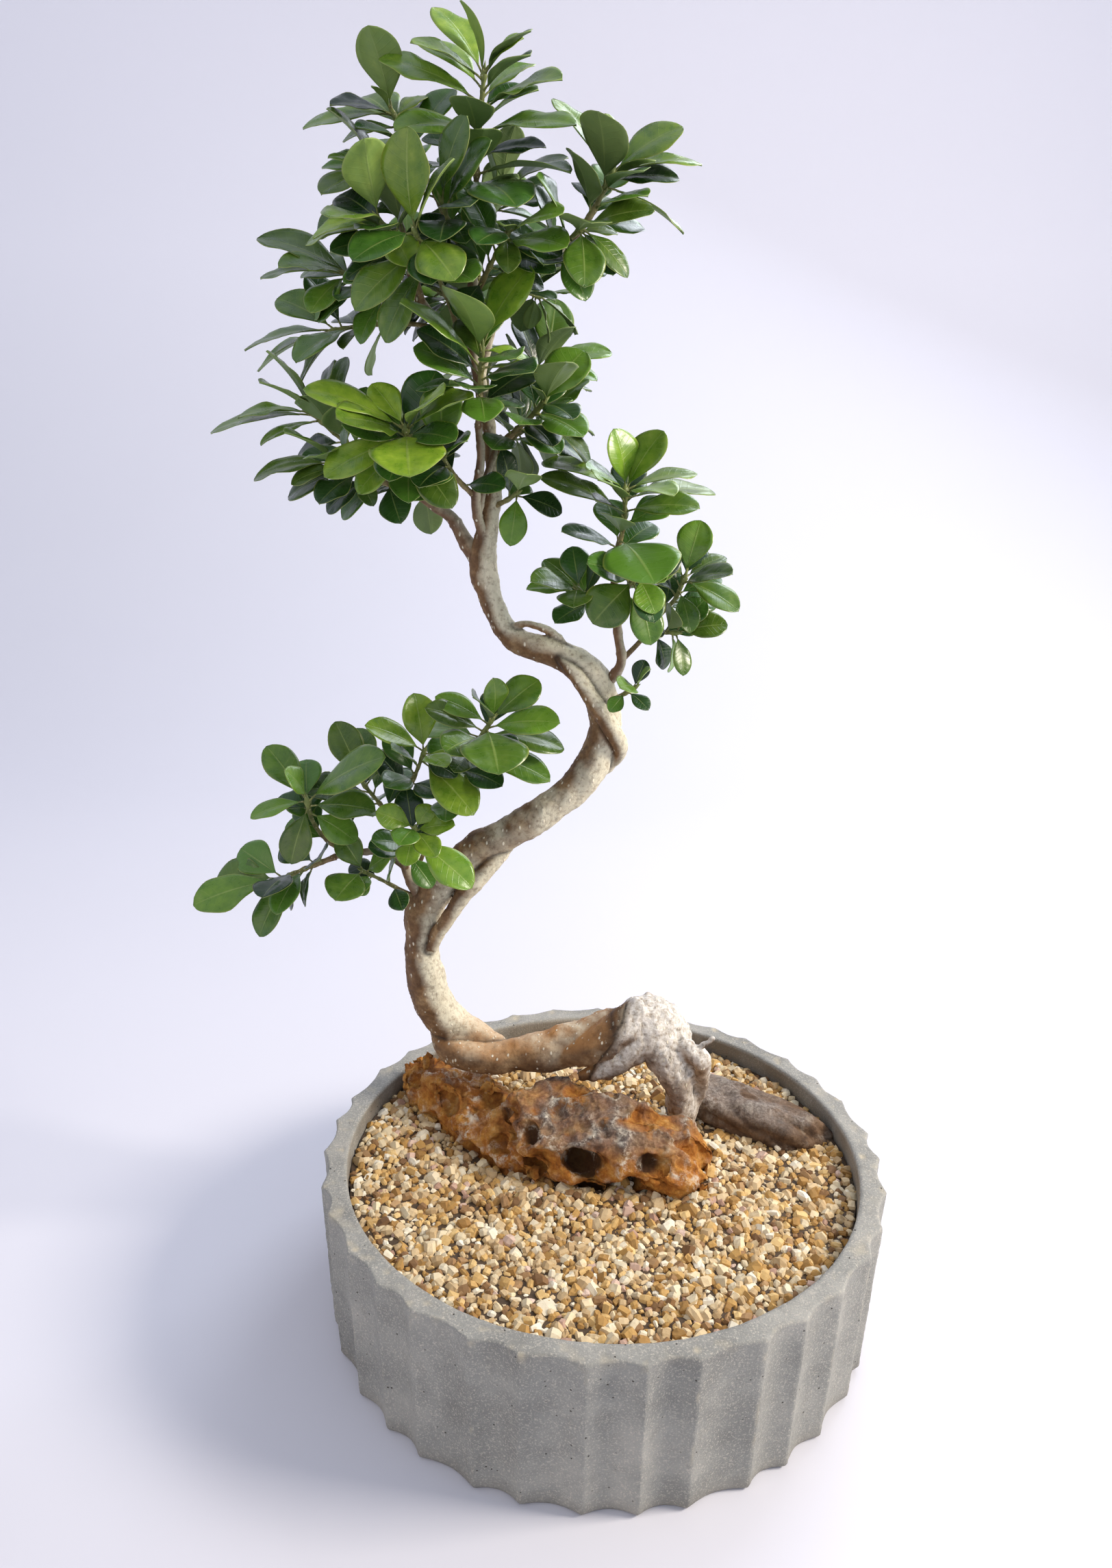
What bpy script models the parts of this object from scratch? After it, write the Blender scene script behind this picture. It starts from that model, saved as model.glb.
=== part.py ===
"""A fig bonsai in a fluted concrete bowl, with gravel, three stones and leafy shoots.

The origin is the middle of the bowl's flat underside, with +Z up and the side the
tree is shown from at -Y. Lengths in the tables are in millimetres at the design size.
"""
import math

import bmesh
import bpy
import numpy as np
from mathutils import Matrix, Vector
from mathutils.bvhtree import BVHTree

MM = 0.001

# Bowl
BOWL_RADIUS = 170 * MM         # to the sharp ridges between the flutes, at the rim
BOWL_HEIGHT = 103 * MM
BOWL_TAPER = 4 * MM            # how much smaller the ridge radius is at the base
WALL = 15.5 * MM               # ridge to inner face, at the rim
FLOOR = 15 * MM
FLUTES = 35
FLUTE_DEPTH = 5 * MM
FLUTE_WANDER = math.radians(1.1)
FIRST_RIDGE = math.radians(-91.9)
BASE_CHAMFER = 3 * MM
RIM_CHAMFER = 1.5 * MM
INNER_FILLET = 12 * MM
DRAIN_COUNT = 3
DRAIN_DIAMETER = 14 * MM
DRAIN_CIRCLE = 75 * MM         # radius at which the drain holes lie
FLUTE_COLUMNS = 3              # facets across each flute

# Drain screens: squares of plastic mesh over the drain holes
SCREEN_SIDE = 30 * MM
SCREEN_THICKNESS = 1.6 * MM
SCREEN_PITCH = 9 * MM
SCREEN_OPENING = 6 * MM
SCREEN_HOLES = 2               # along each side

# Filling
RIM_TO_GRAVEL = 13 * MM
GRAVEL_DEPTH = 14 * MM
GRAVEL_WAVES = 1.2 * MM

CLEARANCE = 0.3 * MM           # between pieces that touch

# Plant
TREE_HEIGHT = 600 * MM         # from the gravel to the tip of the leading shoot
DESIGN_HEIGHT = 600            # the same, in the tables
TRUNK_GIRTH = 1.0              # thickness of the old wood, 1 as in the tables
LEAF_SIZE = 1.0                # leaf length, 1 as in the tables
LEAF_WIDTH = 0.56              # of its length
LEAF_THICKNESS = 0.9 * MM
PETIOLE = 0.13                 # share of the leaf's length
PETIOLE_RADIUS = 0.8 * MM
LEAF_ARCH = math.radians(32)
TWIG_RADIUS = 1.5 * MM
GOLDEN_TURN = math.radians(137.5)

# Old wood: lists of (x, y, height above the gravel, radius), lowest end first
TRUNK_LINE = [
    (-64, 46, 51, 5), (-77, 50, 54, 8), (-92, 52, 59, 11), (-104, 50, 69, 12.6), (-111, 47, 83, 12.7),
    (-115, 45, 102, 12), (-117, 45, 116, 10.6), (-117, 46, 128, 10.6), (-117, 47, 140, 12),
    (-112, 48, 154, 12),
    (-103, 48, 166, 11.8), (-91, 47, 178, 11.4), (-78, 46, 190, 10.8), (-62, 45, 201, 10.3),
    (-47, 45, 211, 10.4),
    (-33, 46, 221, 10.2), (-22, 48, 231, 9.8), (-14, 50, 243, 9.8), (-9, 51, 257, 9.4), (-7, 51, 270, 9.2),
    (-9, 50, 283, 10), (-14, 49, 295, 10.4), (-24, 48, 304, 9.8), (-37, 47, 311, 8.8), (-49, 47, 314, 8.2),
    (-60, 48, 318, 7.4), (-67, 49, 325, 6.8), (-72, 50, 335, 6.6), (-76, 50, 345, 7), (-78, 50, 357, 7.6),
    (-77, 49, 370, 7), (-75, 48, 382, 5.6), (-72, 48, 400, 4.7), (-73, 48, 421, 4.2), (-76, 48, 441, 3.9),
    (-80, 48, 459, 3.7), (-83, 48, 476, 3.5),
]
ROOT_TRUNK_LINE = [
    (-109, 58, 66, 6), (-104, 50, 55, 9), (-93, 43, 49, 10.8), (-76, 41, 47, 10.4), (-54, 41, 50, 11.2),
    (-31, 42, 56, 13.6), (-8, 43, 63, 13.8), (12, 44, 69, 15.4), (27, 45, 73, 17.6), (38, 46, 62, 14.5),
    (45, 47, 44, 11), (50, 48, 24, 8.8), (53, 48, 4, 8), (54, 48, -14, 7), (54, 48, -30, 5.5),
]
KNUCKLE_LINE = [(2, 43, 64, 12), (17, 44, 71, 16.5), (30, 45, 75, 18), (41, 46, 67, 13.5), (48, 46, 52, 10)]
BURL_LINE = [(40, 41, 66, 6), (49, 40, 58, 8), (56, 41, 48, 7.5), (58, 43, 38, 4.5)]
ROOT_LINES = [
    [(53, 48, -8, 6.5), (62, 38, -22, 4.5), (80, 26, -34, 3), (98, 16, -44, 1.6)],
    [(53, 48, -8, 6.5), (46, 62, -22, 4.5), (34, 78, -34, 3), (20, 94, -44, 1.6)],
    [(53, 48, -10, 6), (42, 30, -26, 4), (26, 8, -38, 2.8), (8, -14, -46, 1.6)],
]
TWINING_LINE = [
    (-34, 41, 309, 3.6), (-24, 38.5, 300, 4.6), (-16, 38, 289, 5), (-8, 39, 277, 5.2), (-1, 42, 265, 5.2),
    (2, 49, 254, 5.2), (-4, 57, 243, 5), (-15, 60, 232, 5), (-31, 58, 219, 5), (-47, 56, 208, 5),
    (-60, 50, 196, 5.2), (-70, 41, 185, 5.4), (-79, 36.5, 174, 5.4), (-88, 35, 164, 5.2), (-96, 35, 151, 5),
    (-104, 36, 138, 4.6), (-110, 38, 124, 3.6),
]
ARCHING_LINE = [
    (-66, 47, 322, 2), (-57, 45.5, 327, 2.2), (-48, 45, 326.6, 2.3), (-38, 45.5, 322.5, 2.4), (-28, 46, 314, 2.2),
]

# Branches: name: (parent, points as above, from the parent's heart outwards)
BRANCHES = {
    "lower_left_branch": ("trunk", [
        (-114, 48, 150, 3.6), (-122, 43, 166, 3.3), (-126, 40, 182, 2.8), (-127, 36, 204, 2.3),
        (-125, 36, 222, 2)]),
    "lower_outer_branch": ("lower_left_branch", [
        (-125, 41, 177, 2), (-138, 40, 186, 2), (-150, 38, 187, 1.9), (-167, 34, 185, 1.7)]),
    "right_branch": ("trunk", [
        (-9, 50, 290, 3), (1, 44, 306, 2.8), (-1, 42, 323, 2.5), (-4, 40, 346, 2.2), (-4, 40, 360, 2)]),
    "crown_left_branch": ("trunk", [
        (-80, 48, 464, 3), (-91, 48, 475, 3), (-98, 48, 482, 2.9), (-106, 47, 490, 2.7),
        (-113, 46, 501, 2.3),
        (-115, 45, 511, 2)]),
    "crown_leader": ("trunk", [(-83, 48, 474, 3), (-83, 48, 490, 2.9), (-83, 48, 507, 2.6),
        (-83, 48, 525, 2.2)]),
    "crown_right_branch": ("trunk", [
        (-80, 48, 456, 2.6), (-74, 48, 480, 2.5), (-67, 48, 497, 2.3), (-50, 46, 512, 2.1),
        (-30, 44, 527, 1.8)]),
    "left_leader": ("trunk", [
        (-78, 50, 356, 4.6), (-88, 53, 371, 4.2), (-96, 54, 384, 3.5), (-106, 52, 391, 3),
        (-116, 50, 398, 2.7),
        (-127, 48, 402, 2.2)]),
    "front_leader": ("trunk", [
        (-76, 48, 372, 3), (-80, 40, 387, 2.7), (-80, 34, 400, 2.5), (-77, 30, 418, 2.2),
        (-78, 28, 436, 1.9)]),
    "front_side_branch": ("front_leader", [(-80, 40, 388, 2), (-75, 39, 408, 1.9), (-68, 44, 429, 1.7)]),
}

# Leafy shoots: name: (parent, stem points, share left bare, leaves, leaf length, first turn in degrees)
SHOOTS = {
    "lower_right_shoot": ("trunk", [
        (-108, 46, 158), (-117, 36, 173), (-112, 30, 191), (-103, 30, 212), (-94, 30, 240), (-82, 26, 258),
        (-70, 24, 277)], 0.58, 12, 37, 10),
    "lower_middle_shoot": ("lower_left_branch", [(-125, 36, 221), (-116, 30, 240),
        (-110, 28, 255)], 0.15, 8, 36, 200),
    "lower_back_shoot": ("lower_left_branch", [(-127, 37, 204), (-139, 45, 214),
        (-151, 50, 226)], 0.3, 6, 38, 60),
    "lower_left_shoot": ("lower_outer_branch", [
        (-159, 36, 186), (-170, 29, 198), (-177, 26, 211), (-179, 24, 225)], 0.3, 9, 36, 150),
    "lower_outer_shoot": ("lower_outer_branch", [(-166, 34, 185), (-182, 30, 179),
        (-199, 24, 173)], 0.25, 6, 44, 20),
    "lower_front_shoot": ("lower_left_branch", [
        (-125, 41, 176), (-122, 30, 188), (-117, 17, 203), (-113, 9, 215)], 0.4, 7, 32, 90),
    "lower_small_shoot": ("trunk", [(-114, 47, 152), (-128, 42, 161), (-139, 36, 170),
        (-149, 30, 178)], 0.5, 5, 28, 0),
    "right_left_shoot": ("right_branch", [(-3, 41, 334), (-15, 33, 341), (-24, 28, 351)], 0.35, 6, 32, 30),
    "right_front_shoot": ("right_branch", [(-4, 40, 345), (3, 28, 352), (8, 17, 360)], 0.35, 6, 34, 160),
    "right_top_shoot": ("right_branch", [(-4, 40, 358), (-3, 40, 371), (0, 38, 385),
        (0, 36, 403)], 0.2, 12, 38, 0),
    "right_outer_shoot": ("right_branch", [
        (1, 44, 308), (12, 50, 319), (19, 54, 329), (30, 50, 343), (35, 46, 357)], 0.5, 9, 33, 0),
    "right_low_shoot": ("right_outer_shoot", [(14, 51, 322), (23, 44, 325),
        (31, 39, 326)], 0.35, 4, 30, 100),
    "right_foot_shoot": ("trunk", [(-8, 51, 281), (3, 38, 290), (10, 29, 297)], 0.65, 3, 20, 0),
    "top_shoot": ("crown_leader", [
        (-83, 48, 523), (-81, 46, 548), (-79, 44, 572), (-76, 42, 600)], 0.12, 15, 42, 180),
    "upper_left_shoot": ("crown_leader", [
        (-83, 48, 508), (-95, 57, 530), (-104, 60, 548), (-114, 61, 566),
        (-126, 60, 587)], 0.45, 9, 40, 200),
    "upper_middle_shoot": ("crown_left_branch", [(-115, 45, 509), (-120, 50, 532),
        (-129, 50, 558)], 0.2, 9, 39, 90),
    "left_bright_shoot": ("crown_left_branch", [
        (-109, 47, 494), (-111, 33, 508), (-117, 22, 521), (-125, 15, 531)], 0.45, 8, 41, 230),
    "left_middle_shoot": ("crown_left_branch", [(-103, 48, 488), (-124, 45, 498),
        (-148, 40, 508)], 0.35, 8, 38, 140),
    "left_hanging_shoot": ("crown_left_branch", [
        (-95, 48, 481), (-115, 58, 485), (-139, 66, 485), (-163, 70, 482)], 0.4, 8, 38, 40),
    "front_upper_shoot": ("crown_left_branch", [
        (-89, 48, 476), (-93, 31, 494), (-99, 15, 511), (-105, 2, 524)], 0.45, 7, 46, 200),
    "front_leader_shoot": ("front_leader", [(-78, 28, 434), (-76, 20, 452),
        (-74, 15, 475)], 0.2, 10, 45, 150),
    "right_inner_shoot": ("front_side_branch", [(-69, 43, 424), (-54, 41, 437),
        (-44, 36, 447)], 0.2, 9, 38, 0),
    "left_main_shoot": ("left_leader", [(-115, 50, 397), (-116, 36, 414),
        (-114, 15, 433)], 0.35, 12, 43, 250),
    "left_outer_shoot": ("left_leader", [(-126, 48, 401), (-150, 60, 418),
        (-175, 60, 439)], 0.2, 10, 42, 120),
    "left_low_shoot": ("left_leader", [(-121, 49, 400), (-138, 39, 406),
        (-156, 33, 414)], 0.25, 7, 38, 330),
    "front_small_shoot": ("front_leader", [(-80, 36, 397), (-90, 25, 409), (-97, 15, 423)], 0.3, 5, 35, 60),
    "right_backward_shoot": ("front_side_branch", [(-70, 42, 421), (-60, 57, 430),
        (-49, 70, 434)], 0.35, 7, 37, 0),
    "trunk_side_shoot": ("trunk", [(-73, 48, 391), (-64, 40, 396), (-58, 35, 400)], 0.6, 3, 32, 200),
    "right_upper_shoot": ("crown_right_branch", [(-31, 44, 526), (-21, 42, 539),
        (-12, 40, 556)], 0.15, 10, 42, 60),
    "right_middle_shoot": ("crown_right_branch", [(-50, 46, 512), (-38, 34, 520),
        (-26, 25, 529)], 0.3, 8, 38, 300),
    "right_drooping_shoot": ("crown_right_branch", [(-65, 48, 499), (-58, 61, 502),
        (-50, 74, 501)], 0.3, 7, 34, 10),
    "centre_right_shoot": ("crown_leader", [(-83, 48, 496), (-73, 34, 511),
        (-62, 20, 526)], 0.3, 7, 38, 330),
    "centre_left_shoot": ("crown_leader", [(-83, 48, 511), (-90, 31, 526),
        (-95, 15, 541)], 0.3, 7, 38, 200),
    "back_low_shoot": ("trunk", [
        (-73, 48, 417), (-76, 70, 440), (-82, 92, 462), (-90, 104, 476), (-96, 112, 493)], 0.55, 8, 38, 30),
    "back_right_shoot": ("back_low_shoot", [(-78, 78, 448), (-62, 92, 456),
        (-46, 102, 468)], 0.3, 8, 38, 160),
    "upper_back_shoot": ("trunk", [
        (-82, 48, 464), (-84, 67, 484), (-86, 88, 504), (-84, 96, 522), (-80, 100, 543)], 0.5, 8, 38, 270),
    "back_left_shoot": ("upper_back_shoot", [(-85, 77, 494), (-104, 88, 502),
        (-124, 98, 514)], 0.3, 8, 38, 0),
    "back_high_shoot": ("crown_leader", [(-83, 48, 517), (-76, 65, 536), (-70, 80, 557)], 0.3, 8, 38, 100),
    "back_outer_shoot": ("left_leader", [(-104, 52, 390), (-116, 74, 402),
        (-131, 90, 417)], 0.4, 7, 38, 220),
}

# Leaves set by eye, ahead of the ones that follow the rule: shoot: [(share along it, tip point, width share)]
SET_LEAVES = {
    "lower_right_shoot": [(1, (-69, 20, 302), 0.62), (0.97, (-103, 25, 289), 0.42),
        (0.93, (-107, 14, 285), 0.42), (0.95, (-31, 14, 279), 0.5), (0.92, (-29, 32, 258), 0.3),
        (0.95, (-62, -18, 258), 0.75), (0.9, (-116, 50, 262), 0.42), (0.9, (-93, -6, 266), 0.6),
        (0.82, (-36, 18, 243), 0.34), (0.8, (-90, 8, 250), 0.6)],
    "lower_middle_shoot": [(1, (-142, 18, 273), 0.44), (0.97, (-89, 36, 247), 0.45),
        (0.92, (-93, 2, 255), 0.42), (0.85, (-78, 4, 226), 0.5), (0.8, (-109, 2, 240), 0.6)],
    "lower_back_shoot": [(1, (-169, 58, 263), 0.42), (0.95, (-132, 40, 245), 0.4),
        (0.9, (-175, 60, 233), 0.42)],
    "lower_left_shoot": [(1, (-188, 14, 246), 0.66), (0.95, (-205, 36, 253), 0.44),
        (0.97, (-209, 10, 217), 0.34), (0.9, (-185, 5, 191), 0.52), (0.95, (-128, 8, 258), 0.44),
        (0.9, (-136, 14, 223), 0.4), (0.8, (-148, 14, 203), 0.5)],
    "lower_outer_shoot": [(1, (-246, 6, 162), 0.4), (0.55, (-193, -4, 163), 0.4),
        (0.75, (-208, 8, 142), 0.4), (0.4, (-187, 34, 151), 0.36)],
    "lower_small_shoot": [(1, (-160, 4, 170), 0.8), (0.85, (-152, 28, 163), 0.7),
        (0.95, (-130, 24, 192), 0.6)],
    "lower_front_shoot": [(1, (-134, 2, 227), 0.6), (1, (-104, 16, 227), 0.72),
        (0.95, (-89, 4, 220), 0.5), (0.95, (-97, -16, 208), 0.45), (0.8, (-79, 2, 182), 0.42),
        (0.8, (-117, -2, 196), 0.66)],
    "right_top_shoot": [(1, (-7, 30, 435), 0.66), (1, (39, 46, 412), 0.32), (0.97, (25, 0, 404), 0.3),
        (0.9, (50, 60, 401), 0.3), (0.75, (40, 24, 396), 0.48), (0.72, (-47, 42, 409), 0.3),
        (0.95, (-46, 72, 416), 0.22), (0.85, (-14, 4, 411), 0.6), (0.3, (-33, 18, 383), 0.4),
        (0.4, (17, -6, 360), 0.75)],
    "right_left_shoot": [(0.8, (-44, 46, 364), 0.28), (0.9, (-52, 24, 351), 0.28),
        (1, (-25, 4, 345), 0.72)],
    "right_front_shoot": [(1, (18, 2, 343), 0.66), (0.9, (-15, 6, 336), 0.72),
        (0.8, (17, 12, 324), 0.5)],
    "right_outer_shoot": [(0.97, (58, 60, 366), 0.2), (1, (47, 38, 370), 0.6),
        (0.95, (65, 34, 340), 0.5), (0.85, (39, 34, 327), 0.5), (0.97, (24, 44, 368), 0.5),
        (0.6, (35, 34, 320), 0.45)],
    "right_low_shoot": [(1, (36, 28, 304), 0.3), (0.9, (29, 48, 301), 0.3)],
    "right_foot_shoot": [(1, (17, 20, 310), 0.45), (0.95, (1, 10, 301), 0.6)],
    "top_shoot": [(1, (-51, 28, 615), 0.6), (0.95, (-109, 22, 608), 0.5),
        (0.97, (-109, 62, 640), 0.22), (0.9, (-121, 72, 626), 0.34), (0.82, (-129, 44, 606), 0.4),
        (0.78, (-36, 18, 592), 0.5), (0.85, (-47, 68, 613), 0.28), (0.65, (-29, 24, 574), 0.4),
        (0.66, (-116, 12, 569), 0.42), (0.42, (-121, 12, 551), 0.38), (0.42, (-31, 20, 553), 0.38),
        (0.52, (-45, 44, 568), 0.42), (0.36, (-55, -6, 534), 0.5)],
    "upper_left_shoot": [(0.97, (-171, 54, 577), 0.44), (1, (-133, 48, 595), 0.5),
        (0.9, (-154, 70, 574), 0.4), (0.95, (-111, 78, 597), 0.45), (0.8, (-128, 44, 552), 0.5)],
    "upper_middle_shoot": [(1, (-155, 40, 562), 0.5), (0.9, (-162, 62, 555), 0.42),
        (0.97, (-154, 18, 542), 0.4), (0.8, (-162, 40, 524), 0.55)],
    "left_bright_shoot": [(1, (-156, 6, 521), 0.22), (0.9, (-165, 26, 520), 0.34),
        (0.95, (-140, 4, 546), 0.44), (0.85, (-106, -4, 508), 0.5)],
    "left_middle_shoot": [(1, (-191, 32, 505), 0.34), (0.97, (-163, 22, 488), 0.6),
        (0.9, (-195, 44, 525), 0.38)],
    "left_hanging_shoot": [(1, (-215, 74, 471), 0.32), (0.97, (-210, 80, 460), 0.16),
        (0.9, (-181, 60, 453), 0.36), (0.8, (-154, 52, 472), 0.5)],
    "front_upper_shoot": [(0.95, (-83, -18, 501), 0.62), (0.85, (-135, -2, 488), 0.52),
        (1, (-84, -10, 554), 0.24), (0.75, (-124, 16, 474), 0.5)],
    "front_leader_shoot": [(0.95, (-74, 6, 499), 0.66), (0.7, (-110, -16, 492), 0.44),
        (0.5, (-109, 16, 452), 0.38), (0.85, (-100, 12, 475), 0.34), (0.92, (-52, 26, 468), 0.42),
        (0.72, (-40, 30, 461), 0.38)],
    "left_main_shoot": [(0.97, (-163, 0, 452), 0.24), (1, (-133, 24, 455), 0.5),
        (1, (-113, 24, 455), 0.48), (0.97, (-76, -4, 450), 0.22), (0.92, (-105, -26, 412), 0.72),
        (0.85, (-155, 2, 409), 0.44), (0.75, (-140, 12, 400), 0.5), (0.6, (-89, 8, 394), 0.44),
        (0.85, (-71, 34, 427), 0.28)],
    "left_outer_shoot": [(0.97, (-233, 60, 427), 0.2), (1, (-214, 52, 436), 0.26),
        (0.9, (-200, 44, 422), 0.24), (0.8, (-159, 80, 469), 0.34), (0.9, (-175, 70, 473), 0.4)],
    "left_low_shoot": [(1, (-203, 38, 404), 0.26), (0.9, (-179, 26, 403), 0.4),
        (0.7, (-135, 30, 392), 0.4)],
    "right_inner_shoot": [(1, (-42, 34, 473), 0.48), (0.97, (-49, 20, 455), 0.5),
        (0.9, (-18, 60, 430), 0.2), (0.8, (-18, 52, 413), 0.22)],
    "trunk_side_shoot": [(1, (-60, 18, 374), 0.45)],
    "right_upper_shoot": [(1, (-16, 34, 581), 0.62), (0.92, (-43, 52, 591), 0.16),
        (0.97, (33, 46, 561), 0.26), (0.9, (9, 24, 559), 0.3), (0.4, (-31, 12, 561), 0.6),
        (0.8, (26, 52, 530), 0.18)],
    "right_middle_shoot": [(1, (-2, 28, 507), 0.44), (0.97, (-23, 0, 500), 0.5),
        (0.9, (-8, 36, 528), 0.34), (0.8, (-37, -2, 514), 0.7)],
    "right_drooping_shoot": [(1, (-22, 62, 501), 0.4), (0.95, (-44, 70, 477), 0.24),
        (0.9, (-56, 72, 484), 0.4)],
    "centre_right_shoot": [(0.95, (-60, 2, 506), 0.4), (1, (-62, 0, 527), 0.5)],
}

# Stones, bedded in the gravel of a bowl of the design size, and sized to suit the bowl:
# name: centre, half lengths along its own axes, turns about Z, X and Y in degrees
STONES = {
    "left_rock": ((-78, 34, 4), (66, 23, 25), (-42, 0, 5)),
    "right_rock": ((1, 5, 5), (66, 29, 37), (-14, 22, 4)),
    "side_stone": ((98, 53, 4), (45, 19, 13), (-24, -8, 5)),
}
DESIGN_INNER_RADIUS = 154      # of the bowl that the stones' table is for
STONE_DETAIL = 2               # how often the ball that a stone starts from is divided
STONE_BEDDING = 9              # how deep the stones sit in the gravel

# Hollows worn into the stones: direction from the stone's middle, and half lengths
HOLLOWS = {
    "left_rock": [((-0.6, -0.6, 0.5), (13, 9, 9)), ((0.45, -0.7, 0.45), (8, 8, 6)),
        ((-0.85, 0.1, 0.5), (8, 8, 7))],
    "right_rock": [
        ((-0.12, -0.75, 0.6), (12, 15, 10)), ((0.3, -0.9, 0.3), (9, 12, 8)), ((0.5, -0.9, 0.05), (5, 9, 5)),
        ((-0.5, -0.5, 0.65), (7, 8, 6))],
    "side_stone": [],
}


def clear_scene():
    """Remove every object that the file opened with."""
    for item in list(bpy.data.objects):
        bpy.data.objects.remove(item, do_unlink=True)


def material(name, colour, roughness, metallic=0.0):
    """A plain material of one colour, given as red, green and blue from 0 to 1."""
    made = bpy.data.materials.get(name)
    if made is None:
        made = bpy.data.materials.new(name)
        made.use_nodes = True
        shader = made.node_tree.nodes["Principled BSDF"]
        shader.inputs["Base Color"].default_value = (*colour, 1)
        shader.inputs["Roughness"].default_value = roughness
        shader.inputs["Metallic"].default_value = metallic
        made.diffuse_color = (*colour, 1)
    return made


CONCRETE = ("cast_concrete", (0.42, 0.41, 0.38), 0.85)
PLASTIC = ("black_mesh_plastic", (0.02, 0.02, 0.02), 0.5)
EARTH = ("potting_soil", (0.07, 0.045, 0.03), 0.95)
GRAVEL = ("tan_gravel", (0.55, 0.38, 0.2), 0.9)
ROCK = ("ochre_rock", (0.36, 0.18, 0.07), 0.85)
BARK = ("fig_bark", (0.25, 0.16, 0.09), 0.75)
LEAF = ("fig_leaf", (0.08, 0.2, 0.03), 0.35)


def mesh_object(name, points, faces, look, cutter=False):
    """An object made from points and faces; a cutter only shapes others."""
    mesh = bpy.data.meshes.new(name)
    mesh.from_pydata([tuple(p) for p in points], [], [tuple(f) for f in faces])
    mesh.update()
    made = bpy.data.objects.new(name, mesh)
    bpy.context.scene.collection.objects.link(made)
    mesh.materials.append(material(*look))
    if cutter:
        made.hide_render = True
        made.display_type = "WIRE"
    return made


def boolean(target, operation, other, overlapping=False):
    """Cut the other object out of the target, or join it on."""
    step = target.modifiers.new(operation.lower() + "_" + other.name, "BOOLEAN")
    step.operation = operation
    step.solver = "EXACT"
    step.use_self = overlapping
    step.object = other


def grid_faces(rows, columns, closed=True):
    """Quads of a grid whose columns run round; the rows climb."""
    faces = []
    for row in range(rows - 1):
        for column in range(columns if closed else columns - 1):
            after = (column + 1) % columns
            low, high = row * columns, (row + 1) * columns
            faces.append((low + column, low + after, high + after, high + column))
    return faces


# ---- The bowl and its filling -------------------------------------------------------


def ridge_angle(flute):
    """Direction of a ridge; each one wanders a little, as in a hand-made mould."""
    return FIRST_RIDGE + 2 * math.pi * flute / FLUTES + FLUTE_WANDER * math.sin(2.3 * flute + 0.6)


def column_directions():
    """Direction and outward share (1 on a ridge, 0 in a flute's middle) of each column."""
    found = []
    for flute in range(FLUTES):
        start, end = ridge_angle(flute), ridge_angle(flute + 1)
        if flute == FLUTES - 1:
            end = ridge_angle(0) + 2 * math.pi
        for column in range(FLUTE_COLUMNS):
            share = column / FLUTE_COLUMNS
            found.append((start + (end - start) * share, abs(2 * share - 1) ** 1.6))
    return found


def ring(radius, height, scallop=0.0, step=1):
    """Points round the bowl; scallop is how deep the flutes cut in, and step leaves columns out."""
    return [
        ((radius - scallop * (1 - out)) * math.cos(angle),
        (radius - scallop * (1 - out)) * math.sin(angle), height)
        for angle, out in column_directions()[::step]
    ]


def inner_radius(height):
    """Radius of the bowl's smooth inner face at a height above the base."""
    rim = BOWL_RADIUS - WALL
    return rim - BOWL_TAPER * (BOWL_HEIGHT - height) / BOWL_HEIGHT


def lathe(name, rings, look, cutter=False):
    """A solid whose skin passes through rings of points, from its underside's middle to its top's middle."""
    columns = len(rings[0])
    points = [p for each in rings for p in each]
    faces = grid_faces(len(rings), columns)
    points.append((0, 0, rings[0][0][2]))
    points.append((0, 0, rings[-1][0][2]))
    under, over = len(points) - 2, len(points) - 1
    last = (len(rings) - 1) * columns
    for column in range(columns):
        after = (column + 1) % columns
        faces.append((under, after, column))
        faces.append((over, last + column, last + after))
    return mesh_object(name, points, faces, look, cutter)


def drain_places():
    """Middle of each drain hole."""
    for hole in range(DRAIN_COUNT):
        angle = math.radians(30) + 2 * math.pi * hole / DRAIN_COUNT
        yield DRAIN_CIRCLE * math.cos(angle), DRAIN_CIRCLE * math.sin(angle)


def build_bowl():
    """The fluted bowl: a flat base, concave flutes with sharp ridges, a plain inside and drain holes."""
    base = BOWL_RADIUS - BOWL_TAPER
    rim = BOWL_RADIUS
    rings = [
        ring(base - BASE_CHAMFER, 0, FLUTE_DEPTH * 0.7),
        ring(base, BASE_CHAMFER, FLUTE_DEPTH),
        ring(rim, BOWL_HEIGHT - RIM_CHAMFER, FLUTE_DEPTH),
        ring(rim - RIM_CHAMFER, BOWL_HEIGHT, FLUTE_DEPTH * 0.8),
        ring(inner_radius(BOWL_HEIGHT), BOWL_HEIGHT),
        ring(inner_radius(FLOOR + INNER_FILLET), FLOOR + INNER_FILLET),
        ring(inner_radius(FLOOR) - INNER_FILLET, FLOOR),
    ]
    bowl = lathe("bowl", rings, CONCRETE)
    for number, (x, y) in enumerate(drain_places(), 1):
        bpy.ops.mesh.primitive_cylinder_add(
            vertices=16, radius=DRAIN_DIAMETER / 2, depth=3 * FLOOR, location=(x, y, FLOOR / 2))
        hole = bpy.context.object
        hole.name = f"drain_hole_{number}"
        hole.hide_render = True
        hole.display_type = "WIRE"
        boolean(bowl, "DIFFERENCE", hole)
    return bowl


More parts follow.
